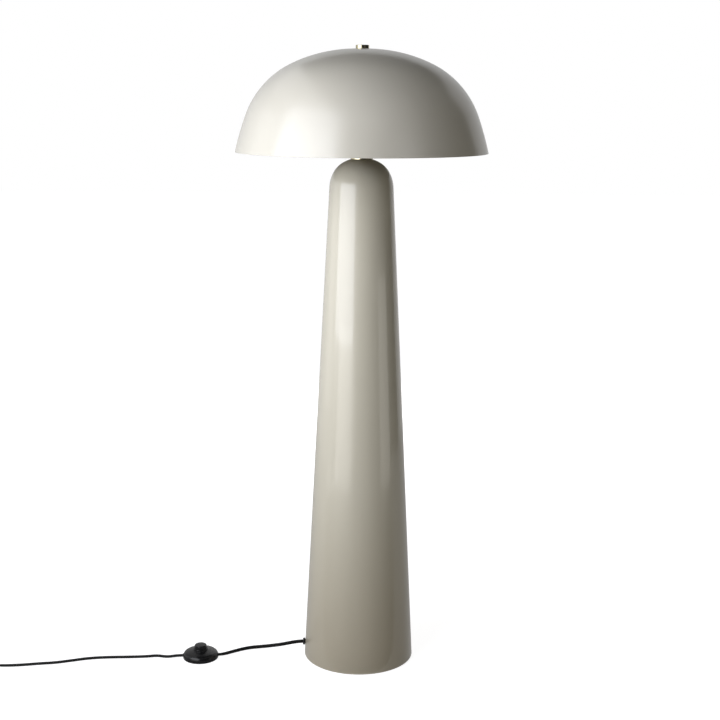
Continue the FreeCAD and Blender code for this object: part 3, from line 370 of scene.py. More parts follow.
finishes = {
    "lacquer": makeLacquer("columnLacquer", "color", "coatRoughness"),
    "shadeLacquer": makeLacquer("shadeLacquer", "shadeColor", "shadeCoatRoughness"),
    "shadeInside": makeFinish(
        "shadeInsideMatt", (0.31, 0.29, 0.235), 0.0, (0.5, 0.6),
        drift=0.03, driftScale=4.0, ripple=500.0, depth=0.00002,
    ),
    "finial_brass": makeFinish(
        "polishedBrass", (0.47, 0.43, 0.29), 1.0, (0.2, 0.26),
        drift=0.1, marks="turning", rings=3200.0, depth=0.000004,
    ),
    "harp_brass": makeFinish(
        "satinBrass", (0.72, 0.54, 0.27), 1.0, (0.29, 0.38), drift=0.12, depth=0.000006,
    ),
    "socket_brass": makeFinish(
        "pressedBrass", (0.76, 0.60, 0.33), 1.0, (0.29, 0.36),
        drift=0.14, marks="turning", rings=1400.0, depth=0.000008,
    ),
    "zinc_steel": makeFinish("zincSteel", (0.60, 0.61, 0.62), 1.0, (0.3, 0.45), drift=0.15, depth=0.00001),
    "casting": makeFinish(
        "castIron", (0.045, 0.045, 0.045), 0.2, (0.6, 0.8),
        drift=0.2, ripple=260.0, grain=900.0, grainShare=0.7, depth=0.0003,
    ),
    "felt": makeFinish(
        "blackFelt", (0.018, 0.018, 0.019), 0.0, (0.9, 1.0),
        drift=0.4, driftScale=400.0, ripple=900.0, grain=3500.0, grainShare=0.9, depth=0.0004, sheen=0.3,
    ),
    "cord_plastic": makeFinish(
        "flexPlastic", (0.008, 0.008, 0.008), 0.0, (0.55, 0.65),
        drift=0.2, driftScale=80.0, ripple=900.0, depth=0.00002, specular=0.15,
    ),
    "bushing_plastic": makeFinish(
        "bushingPlastic", (0.009, 0.009, 0.009), 0.0, (0.35, 0.45), drift=0.2, depth=0.00002, specular=0.2,
    ),
    "switch_plastic": makeFinish(
        "switchPlastic", (0.0065, 0.0065, 0.007), 0.0, (0.2, 0.26),
        drift=0.15, driftScale=60.0, ripple=500.0, grain=4200.0, depth=0.000012, specular=0.25,
    ),
    "inner_plastic": makeFinish("innerPlastic", (0.55, 0.53, 0.47), 0.0, (0.4, 0.5), drift=0.05),
    "fibre": makeFinish(
        "pressedFibre", (0.11, 0.085, 0.06), 0.0, (0.7, 0.85), drift=0.4, driftScale=300.0, depth=0.0001,
    ),
    "phenolic": makeFinish("phenolic", (0.02, 0.018, 0.016), 0.0, (0.29, 0.36), drift=0.1),
    "shell_metal": makeFinish("threadShellMetal", (0.78, 0.78, 0.77), 1.0, (0.29, 0.42), drift=0.08),
    "opal_glass": makeFinish(
        "opalGlass", (0.90, 0.885, 0.85), 0.0, (0.14, 0.2), drift=0.03, driftScale=20.0,
        ripple=90.0, grain=1800.0, grainShare=0.15, depth=0.00001, coat=0.6, coatRoughness=0.05,
    ),
    "cap_metal": makeFinish(
        "threadCapMetal", (0.76, 0.76, 0.76), 1.0, (0.29, 0.38),
        drift=0.08, marks="turning", rings=1800.0, depth=0.000006,
    ),
    "black_glass": makeFinish("blackGlass", (0.01, 0.01, 0.013), 0.0, (0.08, 0.14), drift=0.05),
    "solder": makeFinish("solder", (0.62, 0.62, 0.61), 1.0, (0.3, 0.5), drift=0.2),
    "spring_steel": makeFinish("springSteel", (0.58, 0.58, 0.6), 1.0, (0.29, 0.37), drift=0.1),
    "foot_rubber": makeFinish(
        "footRubber", (0.015, 0.015, 0.015), 0.0, (0.75, 0.9), drift=0.2, depth=0.00004,
    ),
    "blade_brass": makeFinish("bladeMetal", (0.70, 0.64, 0.50), 1.0, (0.29, 0.38), drift=0.12),
    "tie_plastic": makeFinish(
        "strapWeave", (0.016, 0.016, 0.017), 0.0, (0.7, 0.85), drift=0.35, driftScale=700.0,
        ripple=1400.0, grain=2600.0, grainShare=0.8, depth=0.0002, sheen=0.2,
    ),
}
print("finishes made:", len(finishes))


cornerLimits = {"stepDegrees": 12, "sideShare": 0.49}


def softened(stops):
    # corners of a closed profile: (reach, height) stays sharp, (reach, height, round) is rounded
    points = []
    for k, stop in enumerate(stops):
        here = Vector(stop[:2])
        if len(stop) < 3 or stop[2] <= 0:
            points.append(here)
            continue
        back = Vector(stops[k - 1][:2]) - here
        ahead = Vector(stops[(k + 1) % len(stops)][:2]) - here
        half = back.angle(ahead) / 2
        share = cornerLimits["sideShare"]
        reach = min(stop[2] / math.tan(half), share * back.length, share * ahead.length)
        back.normalize()
        ahead.normalize()
        centre = here + (back + ahead).normalized() * reach / math.cos(half)
        start, end = here + back * reach - centre, here + ahead * reach - centre
        first = math.atan2(start.y, start.x)
        sweep = (math.atan2(end.y, end.x) - first + math.pi) % math.tau - math.pi
        steps = max(2, math.ceil(abs(sweep) / math.radians(cornerLimits["stepDegrees"])))
        for j in range(steps + 1):
            angle = first + sweep * j / steps
            points.append(centre + Vector((math.cos(angle), math.sin(angle))) * start.length)
    return points


def domeLine(top, flat, bends, inset, stepDegrees=2.0):
    # points down a run of tangent arcs that starts level, set in square to the surface
    x, z, heading = flat, top - inset, 0.0
    points = [Vector((x, z))]
    for radius, endDegrees in bends:
        small, end = radius - inset, math.radians(endDegrees)
        centreX, centreZ = x - small * math.sin(heading), z - small * math.cos(heading)
        steps = max(3, math.ceil(math.degrees(end - heading) / stepDegrees))
        for j in range(1, steps + 1):
            angle = heading + (end - heading) * j / steps
            points.append(Vector((centreX + small * math.sin(angle), centreZ + small * math.cos(angle))))
        x, z = points[-1]
        heading = end
    return points


def arcPoints(start, corner, end, steps):
    # arc between two points, tangent to the lines that meet at the corner
    back, ahead = (start - corner), (end - corner)
    half = back.angle(ahead) / 2
    if half > math.pi / 2 - 1e-4:
        return [start.lerp(end, j / steps) for j in range(steps + 1)]
    centre = corner + (back.normalized() + ahead.normalized()).normalized() * back.length / math.cos(half)
    first, last = start - centre, end - centre
    sweep = first.angle(last)
    return [
        centre + (
            first * math.sin(sweep * (1 - j / steps)) + last * math.sin(sweep * j / steps)
        ) / math.sin(sweep)
        for j in range(steps + 1)
    ]


def biarcPoints(start, heading, end, final, steps=10):
    # two tangent arcs from one point and direction to another
    start, end = Vector(start), Vector(end)
    heading, final = Vector(heading).normalized(), Vector(final).normalized()
    chord, both = end - start, heading + final
    square, along = 2 * (1 - heading.dot(final)), chord.dot(both)
    if abs(square) < 1e-9:
        reach = chord.length_squared / (2 * along)
    else:
        reach = (math.sqrt(along ** 2 + square * chord.length_squared) - along) / square
    first, last = start + heading * reach, end - final * reach
    joint = (first + last) / 2
    return arcPoints(start, first, joint, steps) + arcPoints(joint, last, end, steps)[1:]


def spunMesh(profile, steps):
    # a profile of (reach, height) in millimetres, turned about the upright axis
    bm = bmesh.new()
    line = [bm.verts.new((point[0] * mm, 0, point[1] * mm)) for point in profile]
    pairs = list(zip(line, line[1:]))
    if max(profile[0][0], profile[-1][0]) > 1e-6:
        pairs.append((line[-1], line[0]))
    edges = [bm.edges.new(pair) for pair in pairs]
    bmesh.ops.spin(
        bm, geom=line + edges, cent=(0, 0, 0), axis=(0, 0, 1), dvec=(0, 0, 0),
        angle=math.tau, steps=steps, use_merge=True, use_normal_flip=False, use_duplicate=False,
    )
    bmesh.ops.remove_doubles(bm, verts=bm.verts[:], dist=1e-7)
    bmesh.ops.dissolve_degenerate(bm, edges=bm.edges[:], dist=1e-7)
    bmesh.ops.recalc_face_normals(bm, faces=bm.faces[:])
    return bm


def sheetMesh(outlines, size):
    # a spun sheet between its outside and inside outline, with a rounded free edge
    for outline in outlines:
        outline[-1] = Vector((*outline[-1], size["edge"]))
    outer, inner = outlines
    return spunMesh(softened([tuple(p) for p in outer + inner[::-1]]), size["steps"])


def smoothFaces(bm, sharpDegrees):
    for face in bm.faces:
        face.smooth = True
    for edge in bm.edges:
        if len(edge.link_faces) == 2:
            edge.smooth = edge.calc_face_angle(0) < math.radians(sharpDegrees)


def finishPiece(bm, name, body, slotName, nodes=(), sharpDegrees=32, ownFinishes=()):
    smoothFaces(bm, sharpDegrees)
    piece = meshObject(name, bm)
    for key in ownFinishes or [slotName]:
        piece.data.materials.append(finishes[key])
    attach(piece, body)
    if nodes:
        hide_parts(*nodes)
    return piece


def turnedPiece(name, body, slotName, nodes, size, stops, place=Matrix()):
    bm = spunMesh(softened(stops), size["steps"])
    bmesh.ops.transform(bm, matrix=place, verts=bm.verts[:])
    return finishPiece(bm, name, body, slotName, nodes)


def joined(parts):
    # several bmeshes as one
    whole = bmesh.new()
    for part in parts:
        mesh = bpy.data.meshes.new("part")
        part.to_mesh(mesh)
        part.free()
        whole.from_mesh(mesh)
        bpy.data.meshes.remove(mesh)
    return whole


def newCurve(name, kind, points):
    # a curve through points in millimetres
    curve = bpy.data.curves.new(name, "CURVE")
    curve.dimensions = "3D"
    curve.twist_mode = "Z_UP"
    spline = curve.splines.new(kind)
    spline.points.add(len(points) - 1)
    for target, point in zip(spline.points, points):
        target.co = (*[c * mm for c in point], 1)
    return curve, spline


def skinOf(curve):
    # a curve's surface, or its line where it has no bevel, as a mesh
    guide = addObject(curve.name + "Guide", curve)
    bpy.context.view_layer.update()
    skin = bpy.data.meshes.new_from_object(guide.evaluated_get(bpy.context.evaluated_depsgraph_get()))
    bpy.data.objects.remove(guide)
    return skin


def closedSkin(curve):
    skin = skinOf(curve)
    bm = bmesh.new()
    bm.from_mesh(skin)
    bpy.data.meshes.remove(skin)
    bmesh.ops.remove_doubles(bm, verts=bm.verts[:], dist=1e-6)
    bmesh.ops.recalc_face_normals(bm, faces=bm.faces[:])
    return bm


def roundedBox(halfWidth, halfHeight, corner):
    y, z = halfWidth, halfHeight
    return softened([(-y, -z, corner), (y, -z, corner), (y, z, corner), (-y, z, corner)])


def bevelEdges(bm, edges, offset, segments=2):
    bmesh.ops.bevel(
        bm, geom=edges, offset=offset * mm, offset_type="OFFSET", affect="EDGES",
        segments=segments, profile=0.5, material=-1, clamp_overlap=True,
    )


def sharpEdges(bm):
    return [e for e in bm.edges if len(e.link_faces) == 2 and e.calc_face_angle(0) > math.radians(60)]


def heights(node):
    # lowest and highest point of a frame node, in millimetres
    low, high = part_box(node)
    return low.z / mm, high.z / mm


columnSize = {
    "top": 963.2,
    "wall": 1.2,
    "foot": 1.0,
    "taper": 0.051,
    "bends": [(69.0, 28.3), (46.1, 63.9), (65.0, 90 - math.degrees(math.atan(0.051)))],
    "hole": 5.3,
    "rows": 24,
    "edge": 0.45,
    "steps": 224,
}


def columnFlank(points):
    # straight cone from the shoulder's last point down to the foot
    last, size = points[-1], columnSize
    fall = last.y - size["foot"]
    return [
        Vector((last.x + fall * size["taper"] * j / size["rows"], last.y - fall * j / size["rows"]))
        for j in range(1, size["rows"] + 1)
    ]


def makeColumn():
    size = columnSize
    outlines = []
    for inset in (0.0, size["wall"]):
        dome = domeLine(size["top"], 0.0, size["bends"], inset)
        outline = [p for p in dome if p.x > size["hole"]]
        outlines.append(outline + columnFlank(outline))
    finishPiece(sheetMesh(outlines, size), "columnShell", "root", "lacquer", ["column_shell"], 50)


makeColumn()
print("column done")


shadeSize = {
    "rimHeight": 972.8,
    "wall": 1.0,
    "seat": 11.0,
    "rimRadius": 230.0,
    "crownTurn": 25.6,
    "shoulder": (164.5, 69.8),
    "flank": (551.6, 76.9),
    "hole": 3.3,
    "edge": 0.42,
    "lacqueredRim": 0.8,
    "steps": 288,
}


def makeShade():
    size = shadeSize
    top = heights("shade_shell")[1]
    sines = [math.sin(math.radians(a)) for a in (size["crownTurn"], size["shoulder"][1], size["flank"][1])]
    outerReach = size["shoulder"][0] * (sines[1] - sines[0]) + size["flank"][0] * (sines[2] - sines[1])
    crown = (size["rimRadius"] - size["seat"] - outerReach) / sines[0]
    bends = [(crown, size["crownTurn"]), size["shoulder"], size["flank"]]
    outlines = []
    for inset in (0.0, size["wall"]):
        outlines.append([Vector((size["hole"], top - inset))] + domeLine(top, size["seat"], bends, inset))
    bm = sheetMesh(outlines, size)
    # the inside has a matt paint of its own: its faces look down or towards the axis
    for face in bm.faces:
        middle = face.calc_center_median()
        outwards = Vector((middle.x, middle.y, 0)).normalized()
        above = middle.z / mm > size["rimHeight"] + size["lacqueredRim"]
        if above and face.normal.dot(outwards) + face.normal.z < 0:
            face.material_index = 1
    finishPiece(bm, "shadeShell", "shade", "lacquer", ["shade_shell"], 50, ["shadeLacquer", "shadeInside"])


makeShade()
print("shade done")


neckSize = {"radius": 20.0, "wall": 1.2, "round": 3.0, "bore": 5.05, "steps": 128}


def makeNeck():
    size = neckSize
    low, high = heights("neck_cup")
    inner = size["radius"] - size["wall"]
    turnedPiece("neckCup", "root", "finial_brass", ["neck_cup"], size, [
        (inner, low),
        (size["radius"], low, 0.3),
        (size["radius"], high, size["round"]),
        (size["bore"], high),
        (size["bore"], high - size["wall"]),
        (inner, high - size["wall"], size["round"] - size["wall"]),
    ])


finialSize = {
    "radius": 12.0,
    "edge": 0.7,
    "bore": 3.18,
    "boreDepth": 5.3,
    "dish": 0.25,
    "rim": 2.2,
    "dishEdge": 3.0,
    "steps": 96,
}


def makeFinial():
    size = finialSize
    low, high = heights("finial")
    turnedPiece("finialDisc", "finial", "finial_brass", ["finial"], size, [
        (size["bore"], low),
        (size["radius"], low, size["edge"] * 0.6),
        (size["radius"], high, size["edge"]),
        (size["radius"] - size["rim"], high - 0.02, 0.4),
        (size["radius"] - size["dishEdge"], high - size["dish"], 0.4),
        (0.0, high - size["dish"]),
        (0.0, low + size["boreDepth"]),
        (size["bore"], low + size["boreDepth"]),
    ])


bushingSize = {
    "flange": 6.8,
    "thick": 3.6,
    "barrel": 4.9,
    "barrelLength": 3.4,
    "tail": 3.9,
    "tailLength": 19.0,
    "neck": 3.6,
    "mouth": 0.4,
    "steps": 64,
}


def makeBushing():
    size = bushingSize
    low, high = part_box("cord_bushing")
    face = -low.x / mm
    middle = (low.z + high.z) / 2
    turn = Matrix.Translation((-face * mm, 0, middle)) @ Matrix.Rotation(math.radians(90), 4, "Y")
    turnedPiece("cordBushing", "root", "bushing_plastic", ["cord_bushing"], size, [
        (0.0, size["mouth"]),
        (size["neck"], size["mouth"], 0.3),
        (size["neck"] + 0.6, 0.0, 0.3),
        (size["flange"], 0.0, 1.3),
        (size["flange"], size["thick"], 0.3),
        (size["barrel"], size["thick"]),
        (size["barrel"], size["thick"] + size["barrelLength"], 0.3),
        (size["tail"], size["thick"] + size["tailLength"], 0.5),
        (0.0, size["thick"] + size["tailLength"]),
    ], turn)


makeNeck()
makeFinial()
makeBushing()
print("neck, finial and bushing done")


switchSize = {
    "place": (-306.5, -30.0),
    "yaw": 3.0,
    "radius": 34.0,
    "wall": 1.8,
    "foot": 0.8,
    "skirtTop": 4.6,
    "domeTop": 16.1,
    "slope": 0.17,
    "collar": 13.7,
    "collarTop": 20.0,
    "bore": 11.58,
    "ceiling": 14.3,
    "ceilingReach": 14.6,
    "groove": (2.5, 3.0, 0.35),
    "grooveSlope": 0.1,
    "collarRound": 0.9,
    "collarFoot": (0.2, 0.1),
    "steps": 128,
}

switchTurn = Matrix.Rotation(math.radians(switchSize["yaw"]), 4, "Z")
switchPlace = Matrix.Translation([c * mm for c in (*switchSize["place"], 0)]) @ switchTurn


def makeSwitchCover():
    size = switchSize
    slope = (-1, size["slope"])
    inside = size["radius"] - size["wall"]
    low, high, deep = size["groove"]
    floor = size["radius"] - deep
    domeEnd, ceilingEnd = (size["collar"], size["domeTop"]), (size["ceilingReach"], size["ceiling"])
    dome = biarcPoints((size["radius"], size["skirtTop"]), (0, 1), domeEnd, slope)
    ceiling = biarcPoints((inside, size["skirtTop"]), (0, 1), ceilingEnd, slope)
    stops = [
        (inside, size["foot"]),
        (size["radius"], size["foot"], 0.5),
        (size["radius"], low, 0.12),
        (floor, low + size["grooveSlope"]),
        (floor, high - size["grooveSlope"]),
        (size["radius"], high, 0.12),
    ]
    stops += [tuple(p) for p in dome[:-1]]
    out, up = size["collarFoot"]
    stops += [
        (size["collar"] + out, size["domeTop"] + up, 0.5),
        (size["collar"], size["collarTop"], size["collarRound"]),
        (size["bore"], size["collarTop"], 0.3),
        (size["bore"], size["ceiling"]),
    ]
    stops += [tuple(p) for p in ceiling[::-1]]
    turnedPiece("switchCover", "root", "switch_plastic", ["switch_cover"], size, stops, switchPlace)


buttonSize = {
    "radius": 11.5,
    "round": 1.6,
    "crown": 0.5,
    "bore": 8.6,
    "roof": 3.2,
    "flange": 13.3,
    "flangeThick": 1.4,
    "plunger": 3.0,
    "plungerLow": 14.2,
    "steps": 96,
}


def makeSwitchButton():
    size = buttonSize
    low, top = heights("switch_button")
    roof = top - size["crown"] - size["roof"]
    flangeTop = low + size["flangeThick"]
    rim = size["radius"] - size["round"]
    dome = (rim ** 2 + size["crown"] ** 2) / (2 * size["crown"])
    crownLine = [(rim * j / 6, top - dome + math.sqrt(dome ** 2 - (rim * j / 6) ** 2)) for j in range(6)]
    stops = crownLine + [
        (size["radius"], top - size["crown"], size["round"]),
        (size["radius"], flangeTop),
        (size["flange"], flangeTop, 0.2),
        (size["flange"], low, 0.2),
        (size["bore"], low),
        (size["bore"], roof),
        (size["plunger"], roof, 0.4),
        (size["plunger"], size["plungerLow"], 0.6),
        (0.0, size["plungerLow"]),
    ]
    node = "switch_button"
    turnedPiece("switchButton", node, "switch_plastic", [node], size, stops, switchPlace)


def makeSwitchSpring():
    # the frame's own coil, on a mesh of its own
    bm = bmesh.new()
    bm.from_mesh(cadNodes["switch_spring"].data)
    bmesh.ops.remove_doubles(bm, verts=bm.verts[:], dist=1e-7)
    piece = finishPiece(bm, "switchSpring", "root", "spring_steel", ["switch_spring"], 60)
    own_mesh(piece)


makeSwitchCover()
makeSwitchButton()
makeSwitchSpring()
print("foot switch done")


# flat twin flex on the same routes as the frame's tubes
flexSize = {"width": 7.0, "thick": 4.3, "overlap": 0.15, "lobeSteps": 11}

# (x, y, z, turn) in millimetres and degrees: turn 0 lies flat, 90 stands on its edge
lampRoute = [
    (-108.2, 0.0, 21.7, 90),
    (-122.5, 0.0, 20.8, 90),
    (-148.0, 1.5, 14.4, 90),
    (-176.0, 4.6, 9.0, 90),
    (-200.0, 7.4, 5.6, 88),
    (-220.0, 5.0, 4.1, 88),
    (-243.0, -8.6, 3.7, 84),
    (-268.5, -30.0, 4.9, 60),
    (-288.5, -29.05, 4.9, 5),
]
mainsRoute = [
    (-324.5, -30.95, 4.9, 0),
    (-351.0, -32.35, 4.7, 0),
    (-371.0, -35.3, 2.4, 0),
    (-391.0, -28.4, 2.3, 0),
    (-411.0, -33.4, 2.3, 0),
    (-446.0, -36.4, 2.3, 0),
    (-486.0, -38.0, 2.3, 0),
    (-522.0, -43.0, 2.3, 0),
    (-552.0, -54.0, 2.3, 0),
    (-583.0, -64.6, 2.3, 0),
    (-612.0, -68.6, 2.3, 0),
    (-640.0, -74.8, 2.3, 0),
    (-668.0, -78.6, 2.4, 0),
    (-692.0, -79.2, 2.9, 20),
    (-714.0, -78.9, 3.5, 60),
    (-732.0, -80.0, 3.7, 85),
]

coilSize = {
    "centre": (-752.0, -124.0),
    "outer": 44.0,
    "pitch": 6.6,
    "reverseIn": 0.7,
    "reverseOut": 1.2,
    "halfTurnsIn": 5,
    "halfTurnsOut": 6,
    "low": 3.6,
    "high": 10.7,
    "end": 9.6,
    "sinkTurns": 0.8,
    "lead": (2.0, 9.2),
    "perHalfTurn": 8,
}


def coilReaches():
    size = coilSize
    reaches = [size["outer"] - k * size["pitch"] / 2 for k in range(size["halfTurnsIn"] + 1)]
    reaches.append(reaches[-1] - size["reverseIn"] * size["pitch"])
    reaches.append(reaches[-1] + size["reverseOut"] * size["pitch"])
    for _ in range(size["halfTurnsOut"] - 1):
        reaches.append(reaches[-1] + size["pitch"] / 2)
    return reaches


def coilRoute():
    size = coilSize
    reaches = coilReaches()
    points = []
    turns = len(reaches) - 1
    for k in range(turns):
        for j in range(size["perHalfTurn"]):
            share = (j + 0.5) / size["perHalfTurn"]
            reach = reaches[k] + (reaches[k + 1] - reaches[k]) * share
            angle = math.pi * (0.5 + k + share)
            climb = min(1.0, max(0.0, k + share - size["halfTurnsIn"]))
            rise = max(0.0, k + share - turns + size["sinkTurns"]) / size["sinkTurns"]
            z = size["low"] + (size["high"] - size["low"]) * climb * climb * (3 - 2 * climb)
            z += (size["end"] - size["high"]) * rise * rise * (3 - 2 * rise)
            reach /= math.cos(math.pi / size["perHalfTurn"] / 2)
            x, y = size["centre"][0] + reach * math.cos(angle), size["centre"][1] + reach * math.sin(angle)
            points.append((x, y, z, 90))
    last = reaches[-1]
    for ahead in size["lead"]:
        points.append((size["centre"][0] - ahead, size["centre"][1] + last, size["end"], 90))
    return points


innerSize = {
    "foot": [
        (-85.6, 0.0, 21.7),
        (-65.0, 0.0, 21.7),
        (-47.0, 1.5, 36.0),
        (-28.0, 0.8, 50.0),
        (-8.0, 0.4, 72.0),
        (0.6, -1.2, 108.0),
    ],
    "sway": 1.2,
    "sidewaysShare": 0.4,
    "runs": 12,
    "low": 108.0,
    "high": 940.6,
    "top": [(0.2, -0.5, 940.6), (0.0, 0.0, 988.0), (0.0, 0.0, 1001.1)],
}


def innerRoute():
    # up the middle of the column, swaying a little
    size = innerSize
    points = list(size["foot"])
    for k in range(1, size["runs"]):
        sway = size["sway"] if k % 2 else -size["sway"]
        z = size["low"] + (size["high"] - size["low"]) * k / size["runs"]
        points.append((size["sidewaysShare"] * sway, sway, z))
    return [(*point, 0) for point in points + size["top"]]


def flexOutline():
    # two round lobes with a shallow groove between them
    size = flexSize
    lobe = size["thick"] / 2
    centre = size["width"] / 2 - lobe
    reach = math.pi - math.acos(min(1.0, (centre - size["overlap"]) / lobe))
    points = []
    for side in (1, -1):
        for j in range(size["lobeSteps"]):
            angle = -reach + 2 * reach * j / (size["lobeSteps"] - 1)
            x, y = centre + lobe * math.cos(angle), lobe * math.sin(angle)
            points.append((x * side, y * side, 0))
    profile, spline = newCurve("flexOutline", "POLY", points)
    spline.use_cyclic_u = True
    return addObject("flexOutline", profile)


def layCord(name, route, nodes, perPoint, **facts):
    curve, spline = newCurve(name, "NURBS", [point[:3] for point in route])
    curve.resolution_u = perPoint
    for target, point in zip(spline.points, route):
        target.tilt = math.radians(point[3])
    spline.order_u = 3
    spline.use_endpoint_u = True
    bare = skinOf(curve)
    path = [tuple(v.co) for v in bare.vertices]
    bpy.data.meshes.remove(bare)
    outline = flexOutline()
    curve.bevel_mode = "OBJECT"
    curve.bevel_object = outline
    curve.use_fill_caps = True
    bm = closedSkin(curve)
    bpy.data.objects.remove(outline)
    piece = finishPiece(bm, name, "root", "cord_plastic", nodes, 50)
    length = sum((Vector(a) - Vector(b)).length for a, b in zip(path, path[1:]))
    print(name, "length", round(length, 3))


switchPieces = [bpy.data.objects[n] for n in ("switchCover", "switchButton", "switchSpring")]
for part in ("base", "carrier", "terminals", "clamps", "screws", "feet"):
    switchPieces.append(cadNodes["switch_" + part])


reliefSize = {"ribs": 5, "thin": 3.4, "thick": 5.4, "groove": 0.8, "steps": 48}

plugSize = {
    "square": 4.0,
    "segments": 64,
    # distance from the relief, half width, half height
    "stations": [
        (0.0, 5.8, 5.8), (0.5, 6.7, 6.5), (2.0, 8.2, 7.6), (5.0, 10.2, 8.7), (8.0, 11.6, 9.25),
        (11.0, 12.3, 9.5), (27.0, 12.5, 9.6), (32.8, 12.5, 9.6), (33.6, 12.3, 9.4), (34.0, 11.8, 8.9),
    ],
    # the finger grooves: where each starts, and its own stations from there
    "grooves": (14.0, 19.0, 24.0),
    "groove": [
        (-0.6, 12.45, 9.55), (0.0, 12.3, 9.4), (0.5, 11.9, 9.0),
        (2.0, 11.9, 9.0), (2.5, 12.3, 9.4), (3.0, 12.45, 9.55),
    ],
}


def makeRelief():
    size = reliefSize
    low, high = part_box("plug_relief")
    length = (high.x - low.x) / mm
    step = length / (2 * size["ribs"] + 1)
    stops = [(0.0, 0.0), (size["thin"], 0.0, 0.4)]
    for k in range(size["ribs"]):
        for share, deep in ((1.0, 0.0), (1.15, size["groove"]), (1.85, size["groove"]), (2.0, 0.0)):
            at = (2 * k + share) * step
            stops.append((size["thin"] + (size["thick"] - size["thin"]) * at / length - deep, at, 0.2))
    stops += [(size["thick"], length), (0.0, length)]
    place = Matrix.Translation((high.x, (low.y + high.y) / 2, (low.z + high.z) / 2))
    turn = place @ Matrix.Rotation(math.radians(-90), 4, "Y")
    return turnedPiece("plugRelief", "root", "cord_plastic", ["plug_relief"], size, stops, turn)


def makePlugBody():
    size = plugSize
    low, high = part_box("plug_body")
    stations = {}
    for start in size["grooves"]:
        stations.update({round(start + ahead, 3): reaches for ahead, *reaches in size["groove"]})
    stations.update({along: reaches for along, *reaches in size["stations"]})
    stations = sorted(stations.items())
    bm = bmesh.new()
    bmesh.ops.create_circle(bm, segments=size["segments"], radius=1.0, cap_ends=False)
    power = size["square"]
    for vert in bm.verts:
        grow = (abs(vert.co.x) ** power + abs(vert.co.y) ** power) ** (-1 / power)
        vert.co = (0, vert.co.x * grow, vert.co.y * grow)
    edges = bm.edges[:]
    for _ in stations[1:]:
        made = bmesh.ops.extrude_edge_only(bm, edges=edges)["geom"]
        ring = {g for g in made if isinstance(g, bmesh.types.BMVert)}
        edges = [g for g in made if isinstance(g, bmesh.types.BMEdge) and set(g.verts) <= ring]
        bmesh.ops.translate(bm, verts=list(ring), vec=(1, 0, 0))
    middle = (low + high) / 2
    for vert in bm.verts:
        along, (halfWidth, halfHeight) = stations[round(vert.co.x)]
        y, z = vert.co.y * halfWidth * mm, vert.co.z * halfHeight * mm
        vert.co = (high.x - along * mm, middle.y + y, middle.z + z)
    bmesh.ops.holes_fill(bm, edges=bm.edges[:], sides=0)
    bmesh.ops.recalc_face_normals(bm, faces=bm.faces[:])
    return finishPiece(bm, "plugBody", "root", "switch_plastic", ["plug_body"], 40)


def bandMesh(outer, inner, width, soft):
    # a closed band: two outlines in the YZ plane joined and given a width along X
    bm = bmesh.new()
    edges = []
    for outline in (outer, inner):
        line = [bm.verts.new((0, point[0] * mm, point[1] * mm)) for point in outline]
        edges += [bm.edges.new(pair) for pair in zip(line, line[1:] + line[:1])]
    faces = bmesh.ops.bridge_loops(bm, edges=edges)["faces"]
    made = bmesh.ops.extrude_face_region(bm, geom=faces)["geom"]
    moved = [g for g in made if isinstance(g, bmesh.types.BMVert)]
    bmesh.ops.translate(bm, verts=moved, vec=(width * mm, 0, 0))
    bmesh.ops.translate(bm, verts=bm.verts[:], vec=(-width / 2 * mm, 0, 0))
    bmesh.ops.recalc_face_normals(bm, faces=bm.faces[:])
    bevelEdges(bm, sharpEdges(bm), soft)
    return bm


tieSize = {
    "grow": 2.4,
    "width": 12.0,
    "thick": 1.1,
    "round": 4.2,
    "edge": 0.3,
    "tab": (10.6, 13.0, 1.0),
    "tabShift": -2.0,
    "tabCorner": 2.6,
    "tabEdge": 0.25,
    "tabSink": 0.05,
}


def makeTie():
    size = tieSize
    low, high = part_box("cord_tie")
    high.z += size["grow"] * mm  # the flex stands on its edge in the coil
    halfY, halfZ = (high.y - low.y) / 2 / mm, (high.z - low.z) / 2 / mm
    outer = roundedBox(halfY, halfZ, size["round"])
    inner = roundedBox(halfY - size["thick"], halfZ - size["thick"], size["round"] - size["thick"])
    band = bandMesh(outer, inner, size["width"], size["edge"])
    # the strap's loose end, pressed down on top of the band
    tab = bmesh.new()
    bmesh.ops.create_cube(tab, size=1.0)
    bmesh.ops.scale(tab, verts=tab.verts[:], vec=[length * mm for length in size["tab"]])
    corners = [e for e in tab.edges if abs(e.verts[0].co.z - e.verts[1].co.z) > 1e-6]
    bevelEdges(tab, corners, size["tabCorner"], 5)
    bevelEdges(tab, sharpEdges(tab), size["tabEdge"])
    rise = halfZ - size["tab"][2] / 2 - size["tabSink"]
    bmesh.ops.translate(tab, verts=tab.verts[:], vec=(0, size["tabShift"] * mm, rise * mm))
    whole = joined([band, tab])
    bmesh.ops.translate(whole, verts=whole.verts[:], vec=(low + high) / 2)
    return finishPiece(whole, "cordTie", "root", "tie_plastic", ["cord_tie"], 40)


grommetSize = {
    "halfWidth": 4.5,
    "halfHeight": 3.0,
    "wall": 1.1,
    "reach": 32.6,
    "depth": 3.6,
    "height": 4.9,
    "edge": 0.35,
    "roundShare": 0.98,
}


def makeGrommets():
    # moulded lips where the flex goes into the foot switch
    size = grommetSize
    outlines = []
    for inset in (0.0, size["wall"]):
        y, z = size["halfWidth"] - inset, size["halfHeight"] - inset
        outlines.append(roundedBox(y, z, z * size["roundShare"]))
    parts = []
    for side in (1, -1):
        part = bandMesh(*outlines, size["depth"], size["edge"])
        place = (side * size["reach"] * mm, 0, size["height"] * mm)
        bmesh.ops.translate(part, verts=part.verts[:], vec=place)
        parts.append(part)
    whole = joined(parts)
    bmesh.ops.transform(whole, matrix=switchPlace, verts=whole.verts[:])
    return finishPiece(whole, "switchGrommets", "root", "switch_plastic", (), 40)


